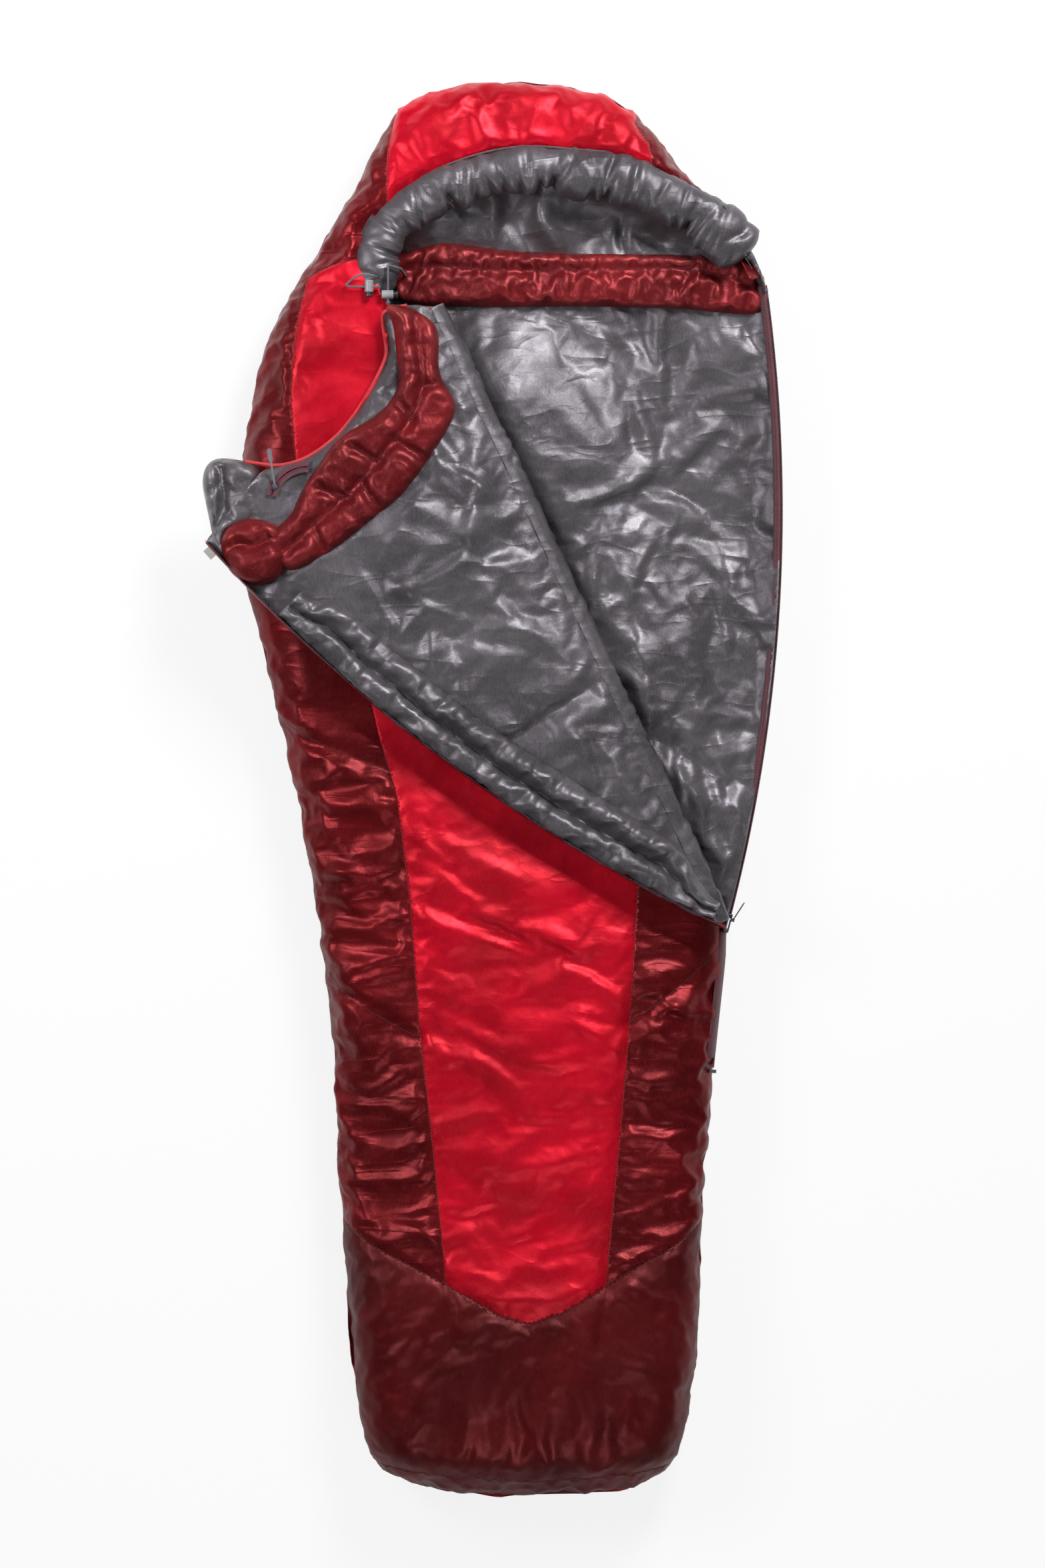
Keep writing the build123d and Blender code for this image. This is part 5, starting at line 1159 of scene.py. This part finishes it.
fin = smooth(REST_FLAP, 0)
fdom_area = REST_FLAP.copy()
fdom = lambda q: inside(q, REST_FLAP) & (-((q - FOLD_A) @ FN) > 10.0)
cut = REST_FLAP[-((REST_FLAP - FOLD_A) @ FN) > 10.0]
lines_ = clip_line(A(LSEAM_FLAP), 6.0, lambda q: fdom(q) & (from_zip(q) > 60))
edge_f = [r for r in clip_line(np.vstack([REST_FLAP, REST_FLAP[:1]]), 6.0, lambda q: -((q - FOLD_A) @ FN) > 10.5)]
fold_line_in = [A([on_fold(s, -10.5) for s in np.arange(-8, 980, 7.0)])]
p, t, o = sheet(fdom, lines_ + edge_f + fold_line_in, 7.0, (-490, -200, 300, 760))
co = np.column_stack([p, flap_top(p)])
calm = np.maximum(near_pocket(p), inside(p, REST_COLLAR).astype(float))
pin = border(t, len(p)) | o
co2 = cloth(co, t, pin, (1.035, 1.035, 1.02), frames=16, pressure=0.6, cap=9.0, bend=0.3, weight=1 - 0.85 * calm)
near = np.abs(np.hypot(*(p - POCKET_C).T) - POCKET_R) < 16
co2[near, 2] = np.minimum(co2[near, 2], 177.4)
ob = make("flap_liner_cloth", co2, t, GREY, "flap")
thicken(ob, 0.8, fine=True)
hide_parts("flap_liner", "flap_insulation", "pocket_bag")
FLAPTOP = (p, co2)


def flap_under(p):
    h = np.full(len(p), 133.4)
    dn = to_line(p, NECK_REST[1:])[0]
    h += 17.5 * (1 - np.sqrt(np.clip(1 - (1 - np.clip(dn / 20.0, 0, 1)) ** 2, 0, 1)))
    dz = from_zip(p)
    h += 10.0 * (1 - np.sqrt(np.clip(1 - (1 - np.clip(dz / 14.0, 0, 1)) ** 2, 0, 1)))
    nf = -((p - FOLD_A) @ FN)
    h += 2.5 * (value_noise(p, 60, 71) + 1) * step01(nf, 20, 90)
    h += np.maximum(creases(p, 50, A([(-420, 450), (-200, 690), (-130, 600), (200, -80), (0, 40), (-300, 240)]), 60, 26, (70, 180), (8, 14), (2.0, 5.0), 216), -1.0) * step01(nf, 14, 60)
    h -= 6.0 * step01(-p[:, 0], 430, 470)
    return h


seam_r = turned(A(SEAM_RIGHT[:6]))
udom = lambda q: inside(q, REST_FLAP) & (-((q - FOLD_A) @ FN) > 1.2)
ulines = clip_line(seam_r, 8.0, udom)
edge_u = clip_line(np.vstack([REST_FLAP, REST_FLAP[:1]]), 8.0, lambda q: -((q - FOLD_A) @ FN) > 1.5)
fold_u = [A([on_fold(s, -1.4) for s in np.arange(-12, 980, 8.0)])]
p, t, o = sheet(udom, ulines + edge_u + fold_u, 8.5, (-490, -200, 300, 760))
co = np.column_stack([p, flap_under(p)])
side_zone = turned(A(SEAM_RIGHT[:6] + [(171.0, -400.0), (520.0, -400.0), (520.0, 800.0)]))
cen = p[t].mean(1)
is_side = inside(cen, side_zone)
pin = border(t, len(p)) | o
co2 = cloth(co, t, pin, (1.035, 1.06, 1.02), frames=12, pressure=0.0, cap=6.0, bend=0.2)
co2[:, 2] = np.maximum(co2[:, 2], np.where(p[:, 0] < -425, 118.5, 132.4))
nfu = -((p - FOLD_A) @ FN)
co2[:, 2] = np.minimum(co2[:, 2], np.where(nfu < 90, 133.4 + nfu * 0.12, 999.0))
for nm, mask, mat, slot_, nodes in (
    ("flap_center_cloth", ~is_side, RED, "shell_red", ("flap_center_panel",)),
    ("flap_side_cloth", is_side, MAROON, "shell_maroon", ("flap_side_panel", "flap_neck_lip")),
):
    tt_ = t[mask]
    used = np.unique(tt_)
    re = np.full(len(p), -1)
    re[used] = np.arange(len(used))
    ob = make(nm, co2[used], re[tt_][:, ::-1], mat, "flap")
    thicken(ob, 0.8)
    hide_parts(*nodes)

# side strip of the corner, up to its zip tape
s_ = np.linspace(-14.85, 8.0, 320)
rows = []
for n_off, z_ in ((-1.2, 143.5), (1.2, 146.0), (2.6, 152.0), (2.8, 160.0), (1.6, 167.0), (0.6, 170.0)):
    q = turned(on_zip(s_, n_off))
    g_ = value_noise(np.stack([s_ * 41.8, s_ * 0 + z_ * 2], -1), 17, 77)
    rows.append(np.column_stack([q, z_ + 0.6 * g_]) + np.column_stack([np.zeros((len(q), 2)), np.zeros(len(q))]))
co_, f_ = loft(rows)
ob = make("flap_side_strip", co_, f_, MAROON, "flap")
thicken(ob, 0.8, 1.0)

# neck edge: bright piping over a rounded lip
neck = resample(smooth(np.vstack([NECK_REST[1:-2], A([(-362.0, 475.0), (-384.0, 478.0), (-410.0, 481.5)])]), 2), 4.0)
pn = np.column_stack([neck, np.full(len(neck), 153.0) - 9.0 * step01(-neck[:, 0], 425, 480)])
co_, f_ = tube(pn, 2.6, 10)
ob = make("flap_neck_piping_cord", co_, f_, PIPE, "flap")
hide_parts("flap_neck_piping")

# ------------------------------------------------- fold of the quilt (lining)
sf = np.arange(-12, 989.1, 3.5)
prof = [(-10.5, 153.0), (-6.0, 151.0), (0.0, 146.0), (5.0, 139.5), (10.6, 132.0), (12.4, 124.0), (12.6, 115.0), (10.0, 106.0), (4.0, 98.0), (-4.0, 92.0), (-14.0, 88.0)]
prof = smooth(A(prof), 2)
fr_ = np.random.default_rng(83)
folds_ = [(fr_.uniform(20, 960), fr_.uniform(3.5, 12), fr_.uniform(-2.5, 6.5), fr_.uniform(-26, 26)) for _ in range(46)]
rows = []
for (n_, z_) in prof:
    q = A([on_fold(s, n_) for s in sf])
    wv = np.stack([sf, np.full(len(sf), z_)], -1)
    bulge = 2.4 * value_noise(wv * (1, 0.5), 46, 81) + 1.2 * value_noise(wv, 18, 82)
    for s_at, wide, deep_, slant in folds_:
        bulge = bulge - deep_ * np.exp(-((sf - s_at - slant * (z_ - 130.0) / 30.0) / wide) ** 2)
    bulge = np.maximum(bulge, -2.0)
    free = math.sin(math.pi * (z_ - 88) / 65.0) ** 0.6 if 88 < z_ < 153 else 0.0
    free = max(free, 0.0)
    fade = np.clip(np.minimum(sf + 12, 989 - sf) / 60.0, 0.15, 1)
    q = q + FN * ((bulge * free) * fade)[:, None] - FN * ((1 - fade) * 4 * free)[:, None]
    top = flap_top(A([on_fold(s, -10.5) for s in sf]))
    zz = np.where(z_ > 132.0, 132.0 + (z_ - 132.0) * (top - 132.0) / 21.0, z_)
    rows.append(np.column_stack([q, zz]))
co_, f_ = loft(rows)
ob = make("fold_lining", co_, f_, GREY, None)
thicken(ob, 0.8, 1.0)
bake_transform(ob)

# --------------------------------------------------- two-lobed draft tube roll
sd = np.arange(-14.3, 4.4, 0.105)
arc_mm = np.radians(sd) * ZIP_R
prof = [(-1.2, 164.0), (-1.0, 174.0), (-5.0, 182.5), (-13.0, 189.0), (-22.0, 190.5), (-30.0, 186.0), (-36.0, 176.0), (-39.0, 171.0),
        (-42.0, 176.0), (-48.0, 187.0), (-57.0, 192.5), (-66.0, 190.0), (-73.0, 182.0), (-78.0, 171.0), (-80.0, 161.0)]
prof = resample(smooth(A(prof), 2), 4.2)
rows = []
taper_lo = step01(sd, -14.3, -11.5)
taper_hi = 1 - 0.35 * step01(sd, 2.6, 4.4)
for (n_, z_) in prof:
    wv = np.stack([arc_mm, np.full(len(sd), n_ * 1.0)], -1)
    width = 0.35 + 0.65 * taper_lo
    q = turned(on_zip(sd, 0.0)) * 0
    nn = n_ * width * taper_hi + 2.0 * value_noise(wv * (1, 0.2), 55, 91) * (abs(n_) > 6)
    q = np.array([turned(on_zip(a_, b_)) for a_, b_ in zip(sd, nn)])
    lift = (z_ - 163.0)
    lobe = 1.0 + 0.14 * value_noise(wv * (1, 0.15), 42, 93)
    pull = 0.10 * value_noise(wv * (1, 0.3), 12, 94) + 0.07 * value_noise(wv * (1, 0.4), 7, 96)
    lobe = lobe + pull * (1.0 if n_ < -39 else 0.45)
    rows.append(np.column_stack([q, 163.0 + lift * lobe * (0.45 + 0.55 * taper_lo) * (0.75 + 0.25 * (1 - step01(sd, 3.0, 4.4))) + 0.8 * value_noise(wv, 9, 95)]))
rows = np.array(rows)
co_, f_ = loft(rows)
tr = []
for f in f_:
    tr += [(f[0], f[1], f[2]), (f[0], f[2], f[3])]
tr = np.array(tr)
nr_, nc_ = rows.shape[:2]
ri = np.repeat(np.arange(nr_), nc_)
ci = np.tile(np.arange(nc_), nr_)
mid = int(np.argmin([abs(n + 39.0) for n, _ in prof]))
pin = (ri == 0) | (ri == nr_ - 1) | (ri == mid) | (ci < 2) | (ci > nc_ - 3)
co2 = cloth(co_, tr, pin, (1.06, 1.05, 1.02), frames=18, pressure=1.0, cap=7.0, bend=0.25, jitter=0.3)
co2[:, 2] = np.minimum(co2[:, 2], 202.0)
ob = make("draft_tube_puff", co2, [f[::-1] for f in f_], GREY, "flap")
thicken(ob, 0.8, 1.0)
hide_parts("flap_draft_tube")
ROLL = rows


# ------------------------------------------------------------- corner collar
def knob(q):
    c = A((-402.0, 346.0))
    d = np.hypot(*(q - c).T)
    return 4.0 * (1 - step01(d, 10, 60))


FC_LINES = [
    A([(-160.0, 700.0), (-152.0, 640.0), (-146.0, 590.0), (-165.0, 540.0), (-215.0, 480.0), (-262.0, 425.0), (-310.0, 385.0), (-345.0, 350.0)]),
    A([(-215.0, 480.0), (-250.0, 500.0)]), A([(-165.0, 540.0), (-190.0, 575.0)]),
    A([(-262.0, 425.0), (-300.0, 440.0)]), A([(-146.0, 590.0), (-118.0, 596.0)]),
    A([(-186.0, 510.0), (-150.0, 488.0)]), A([(-240.0, 450.0), (-214.0, 412.0)]),
    A([(-345.0, 350.0), (-358.0, 316.0)]), A([(-395.0, 388.0), (-402.0, 350.0), (-380.0, 326.0)]),
    A([(-310.0, 385.0), (-296.0, 352.0)]),
]
FCOLLAR = A([
    (-207.9, 712.5), (-171.5, 709.6), (-136.0, 689.9), (-123.1, 668.2), (-127.1, 609.0), (-99.5, 570.6),
    (-101.5, 547.0), (-127.1, 502.6), (-169.5, 437.5), (-218.8, 396.1), (-268.0, 353.7), (-333.1, 318.3),
    (-352.0, 322.0), (-372.0, 340.0), (-385.0, 372.0), (-362.0, 386.0), (-342.0, 407.0), (-326.2, 440.5), (-291.7, 492.8),
    (-260.2, 525.3), (-208.0, 554.9), (-181.4, 590.3), (-188.3, 645.5), (-191.2, 684.9)])
low = lambda q: np.full(len(q), 170.0) - 6.0 * step01(-q[:, 0], 400, 450)
FLAPCOL = pad("flap_collar_pad", FCOLLAR, FC_LINES[:-3] + [FC_LINES[-1]], 25.0, low, "flap", 4.8, (1.04, 1.04, 1.02),
              ("flap_collar",), edge=21.0, seed=57, cap=7.0,
              folds=lambda q: creases(q, 150, box_area(-360, 310, -100, 700), lambda k: -40 if k[1] < 560 else 0, 22, (22, 54), (3.8, 7), (1.2, 3.6), 302))
ROLLED = A([(-352.0, 384.0), (-372.0, 396.0), (-405.0, 399.0), (-432.0, 390.0), (-447.0, 368.0), (-443.0, 340.0),
            (-428.0, 314.0), (-402.0, 299.0), (-374.0, 301.0), (-352.0, 316.0), (-344.0, 348.0)])
KNOB = pad("flap_collar_rolled_end", ROLLED, [A([(-432.0, 352.0), (-418.0, 360.0), (-394.0, 356.0), (-376.0, 366.0), (-358.0, 360.0)])],
           30.0, low, "flap", 4.4, (1.05, 1.05, 1.03), (), edge=34.0, seed=58, cap=6.0,
           folds=lambda q: creases(q, 26, box_area(-445, 300, -345, 400), lambda c: math.degrees(math.atan2(c[1] - 350, c[0] + 350)), 20, (26, 60), (5, 8), (1.5, 3.5), 303))

# the padded end of the quilt, bunched beyond the rolled collar
CORNER = A([(-474.0, 452.0), (-469.0, 476.0), (-453.0, 488.0), (-425.0, 486.0), (-398.0, 480.0), (-389.0, 470.0), (-388.0, 452.0),
            (-386.0, 428.0), (-388.0, 404.0), (-402.0, 388.0), (-428.0, 380.0), (-440.0, 362.0), (-442.0, 334.0), (-450.0, 344.0),
            (-458.0, 372.0), (-463.0, 398.0), (-469.0, 425.0)])
pad("flap_corner_puff", CORNER, [A([(-455.0, 380.0), (-440.0, 420.0), (-446.0, 470.0)])], 33.0, lambda q: np.full(len(q), 143.0), "flap", 4.6,
    (1.06, 1.06, 1.03), (), edge=20.0, seed=59, cap=7.0, pressure=1.2,
    folds=lambda q: creases(q, 34, box_area(-470, 335, -376, 488), lambda c: 150 if c[1] > 430 else 70, 34, (26, 70), (5, 9), (2.0, 5.0), 304),
    material=GREY, belly=lambda q: 14.0 * step01(np.where(inside(q, REST_FLAP), 0, to_line(q, REST_FLAP, True)[0]), 1, 16),
    roof=lambda q: 180.5 + 16.0 * step01(np.hypot(q[:, 0] + 364.7, q[:, 1] - 444.1), 60, 86))

# lining over the short edge of the front between the fold and the rim
edge_path = resample(A([tuple(on_fold(985.0, -0.8)), (-160.0, 711.2), (-196.0, 712.0), (-207.0, 722.0)]), 4.0)
et_ = np.gradient(edge_path, axis=0)
et_ /= np.linalg.norm(et_, axis=1, keepdims=True)
en_ = np.column_stack([et_[:, 1], -et_[:, 0]])
rows = []
for n_, z_ in ((-2.0, 128.6), (0.6, 128.2), (2.6, 124.0), (3.4, 114.0), (3.0, 102.0), (0.5, 93.0), (-6.0, 87.0)):
    g_ = value_noise(np.column_stack([edge_path[:, 0], edge_path[:, 1] * 0 + z_ * 0.4]), 14, 99)
    rows.append(np.column_stack([edge_path + en_ * (n_ + 0.9 * g_)[:, None], np.full(len(edge_path), z_)]))
co_, f_ = loft(rows)
ob = make("neck_edge_lining", co_, f_, GREY, "bag")
thicken(ob, 0.6, 0.0)

# binding over the fold line, seen when the corner is closed
for nm, lo_, hi_, mat, slot_ in (("fold_binding_center", 276.0, 970.0, RED, "shell_red"), ("fold_binding_side", -6.0, 276.0, MAROON, "shell_maroon")):
    ss = np.arange(lo_, hi_ + 0.1, 6.0)
    right = 1.5 + 4.3 * step01(np.minimum(ss + 12, 984 - ss), 20, 80)
    rows = []
    for n_, z_ in ((-8.0, 131.6), (-6.5, 132.7), (-3.0, 133.2), (0.5, 133.3), (1.0, 133.3)):
        q = A([on_fold(s, n_ if n_ < 1.0 else r_) for s, r_ in zip(ss, right)])
        rows.append(np.column_stack([q, np.full(len(ss), z_)]))
    co_, f_ = loft(rows)
    ob = make(nm, co_, f_, mat, "bag")
    thicken(ob, 0.5, 0.0)

# ------------------------------------------------------------- zip and thread
def teeth(name, place, count_deg, lo, z, body, up):
    parts = []
    pitch = 3.0 / ZIP_R * 180 / math.pi
    for i, d in enumerate(np.arange(lo, lo + count_deg, pitch)):
        path_ = [place(d, -1.1), place(d, -0.9), place(d, 0.9), place(d, 1.1)]
        zz = [z - 1.0 * up, z + 0.9 * up, z + 0.9 * up, z - 1.0 * up]
        parts.append(tube(np.array([(*q, h_) for q, h_ in zip(path_, zz)]), [0.55, 0.75, 0.75, 0.55], 5))
        e0, e1 = place(d, 0.0), place(d + pitch, 0.0)
        parts.append(tube(np.array([(*e0, z - 0.4 * up), (*e1, z - 0.4 * up)]), 0.6, 4, False))
    co_, f_ = join(parts)
    return make(name, co_, f_, COIL, body)


ob = teeth("zip_teeth_back", lambda d, n: on_zip(d, n), 22.1, -14.6, 77.2, "bag", 1)
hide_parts("zip_coil_back")
ob = teeth("zip_teeth_corner", lambda d, n: turned(on_zip(d, n)), 22.1, -14.6, 181.2, "flap", 1)
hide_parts("flap_zip_coil")
s_ = np.linspace(-14.6, 8.0, 300)
rows = []
for n_, z_ in ((1.2, 57.0), (1.6, 64.0), (1.1, 70.0), (0.7, 75.0), (-1.4, 76.6), (-5.0, 76.0), (-9.0, 74.2), (-11.5, 71.0)):
    rows.append(np.column_stack([on_zip(s_, n_), z_ + 0.35 * value_noise(np.stack([s_ * 41.8, s_ * 0], -1), 60, 97)]))
co_, f_ = loft(rows)
ob = make("zip_tape_back_cloth", co_, f_, TAPE, "bag")
thicken(ob, 0.6, 1.0)
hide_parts("zip_tape_back")

# tape of the closed zip below the slider, lying on the side of the bag
low_path = resample(smooth(A([(283.6, -398.0), (291.7, -321.3), (297.2, -272.0), (299.7, -245.0), (300.3, -212.0)]), 2), 4.0)
lt_ = np.gradient(low_path, axis=0)
lt_ /= np.linalg.norm(lt_, axis=1, keepdims=True)
ln_ = np.column_stack([lt_[:, 1], -lt_[:, 0]])
rows = []
for n_, z_ in ((-13.0, 98.0), (-9.0, 95.5), (-5.0, 91.0), (-2.0, 86.5), (-0.6, 81.0), (-0.4, 74.0), (-0.8, 66.0), (-2.0, 58.0)):
    rows.append(np.column_stack([low_path + ln_ * n_, z_ + 0.7 * value_noise(np.column_stack([low_path[:, 1], low_path[:, 1] * 0 + n_]), 22, 98)]))
co_, f_ = loft(rows)
ob = make("zip_tape_lower_cloth", co_, f_, TAPE, "bag")
thicken(ob, 0.6, 0.0)
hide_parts("zip_tape_lower")

stitches("stitch_zip_tape", np.column_stack([on_zip(s_, -6.5), np.full(len(s_), 76.6)]), THREAD_DARK, "bag")
mid_row = ROLL[mid]
stitches("stitch_draft_tube", mid_row[3:-3], THREAD_GREY, "flap", 4.6, 3.0, 0.5, 0.6)
for i, l in enumerate(BACKCOL[2]):
    stitches(f"stitch_back_collar_{i}", np.column_stack([l, height_at(l, BACKCOL[0], BACKCOL[1])]), THREAD_DARK, "bag")
for i, l in enumerate(FLAPCOL[2]):
    stitches(f"stitch_corner_collar_{i}", np.column_stack([l, height_at(l, FLAPCOL[0], FLAPCOL[1])]), THREAD_DARK, "flap")
for i, (l, src) in enumerate(((LSEAM_BACK, LINER), (LSEAM_LOW, LINER))):
    l = resample(A(l)[:], 5.0)[:-2]
    stitches(f"stitch_lining_{i}", np.column_stack([l, height_at(l, src[0], src[1])]), THREAD_GREY, "bag")
l = resample(A(LSEAM_FLAP)[:4], 5.0)
stitches("stitch_corner_lining", np.column_stack([l, height_at(l, FLAPTOP[0], FLAPTOP[1])]), THREAD_GREY, "flap")
SEAM_ROWS = (
    ("seam_left", A(SEAM_LEFT)[5:], 0, THREAD_RED), ("seam_right", A(SEAM_RIGHT)[5:], 0, THREAD_RED),
    ("seam_foot", A(VEE), 6, THREAD_DARK), ("seam_foot_end", A(FOOT_END), 6, THREAD_DARK),
    ("seam_crown_left", A(CROWN_LEFT), 3, THREAD_RED), ("seam_crown_right", A(CROWN_RIGHT), 3, THREAD_RED),
    ("chevron_low_left", smooth(CHEVRONS[1], 2), 1, THREAD_DARK), ("chevron_right", smooth(CHEVRONS[2], 2), 2, THREAD_DARK),
    ("chevron_high_left", smooth(CHEVRONS[0], 2), 1, THREAD_DARK), ("seam_shoulder", A(SEAM_LEFT)[:4], 0, THREAD_RED),
    ("seam_hood", A(SHOULDER), 4, THREAD_RED),
)
for nm, l, z, mat in SEAM_ROWS:
    q = resample(l, 5.0)
    if nm in ("seam_left", "seam_right"):
        q = q[q[:, 1] > -700]
    d = edge_frame(q)[0]
    q, d = q[d > -18], d[d > -18]
    if nm.startswith("seam_left") or nm.startswith("seam_right"):
        q = q[~inside(q, FOOT_ZONE)]
    q = q[~inside(q, OPENING)]
    if len(q) < 4:
        continue
    c3 = front_place(q)
    c3[:, 2] += 0.3
    stitches("stitch_" + nm, c3, mat, "bag", 4.4, 3.0, 0.45, 0.5)

# ------------------------------------------------------ finishes of the frame
FINISH = {
    "hood_drawcord": CORD, "collar_cord": CORD, "hood_cord_lock": LOCK, "hood_lock_button": LOCK_D, "hood_lock_spring": STEEL,
    "collar_cord_lock": LOCK, "collar_lock_button": LOCK_D, "collar_lock_spring": STEEL, "zip_tape_lower": TAPE,
    "zip_coil_lower": COIL, "zip_bottom_stop": SLIDER, "zip_top_stop": SLIDER, "anti_snag_strip": THREAD_GREY,
    "zip_slider": SLIDER, "zip_pull": PULL, "flap_zip_tape": TAPE, "closure_tab": TAB, "pocket_bag": GREY,
    "pocket_zip_tape": TAPE, "pocket_zip_coil": COIL, "pocket_slider": SLIDER, "pocket_pull_cord": CORD,
}
for n, m in FINISH.items():
    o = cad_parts[n]
    o.data.materials.clear()
    o.data.materials.append(m)


# ------------------------------------------------------ floor, light, camera
me = bpy.data.meshes.new("floor")
me.from_pydata([(-9, -9, -0.001), (9, -9, -0.001), (9, 9, -0.001), (-9, 9, -0.001)], [], [(0, 1, 2, 3)])
floor = bpy.data.objects.new("floor", me)
bpy.context.scene.collection.objects.link(floor)
k = Nodes("pale_floor")
k.b.inputs["Base Color"].default_value = (0.93, 0.93, 0.93, 1)
k.b.inputs["Roughness"].default_value = 0.9
k.b.inputs["Specular IOR Level"].default_value = 0.1
lp = k.add("ShaderNodeLightPath")
em = k.add("ShaderNodeEmission")
em.inputs["Color"].default_value = (0.98, 0.98, 0.98, 1)
em.inputs["Strength"].default_value = 1.0
mixs = k.add("ShaderNodeMixShader")
half = k.add("ShaderNodeMath", operation="MULTIPLY")
half.inputs[1].default_value = 0.85
k.link(lp, "Is Camera Ray", half, 0)
k.link(half, 0, mixs, 0)
k.link(k.b, "BSDF", mixs, 1)
k.link(em, "Emission", mixs, 2)
k.link(mixs, 0, k.out, "Surface")
me.materials.append(k.m)


def area(name, loc, aim, size, power, size_y=None):
    d = bpy.data.lights.new(name, "AREA")
    d.shape = "RECTANGLE"
    d.size = size
    d.size_y = size_y or size
    d.energy = power
    o = bpy.data.objects.new(name, d)
    o.location = loc
    o.rotation_euler = (Vector(aim) - Vector(loc)).to_track_quat("-Z", "Y").to_euler()
    bpy.context.scene.collection.objects.link(o)
    return o


area("key_light", (1.1, 2.5, 2.5), (0, 0.1, 0), 1.1, 126)
area("fill_light", (-2.3, 0.9, 2.3), (0, 0, 0), 1.1, 54)
area("foot_light", (0.5, -2.7, 2.4), (0, -0.3, 0), 1.2, 22)
w = bpy.data.worlds.new("studio")
bpy.context.scene.world = w
w.use_nodes = True
w.node_tree.nodes["Background"].inputs[0].default_value = (1, 1, 1, 1)
w.node_tree.nodes["Background"].inputs[1].default_value = 0.16
vs = bpy.context.scene.view_settings
vs.view_transform = "Standard"
vs.look = "None"
vs.exposure = 0.0

cam = bpy.data.cameras.new("camera")
camo = bpy.data.objects.new("camera", cam)
bpy.context.scene.collection.objects.link(camo)
bpy.context.scene.camera = camo
cam.sensor_fit = "VERTICAL"
cam.sensor_height = 24.0
DIST = 9.0
FRAME_H = 2.318
cam.lens = 24.0 * (DIST - 0.1) / FRAME_H
camo.location = (-0.002, 0.008, DIST)
camo.rotation_euler = (0, 0, 0)
cam.clip_end = 40.0
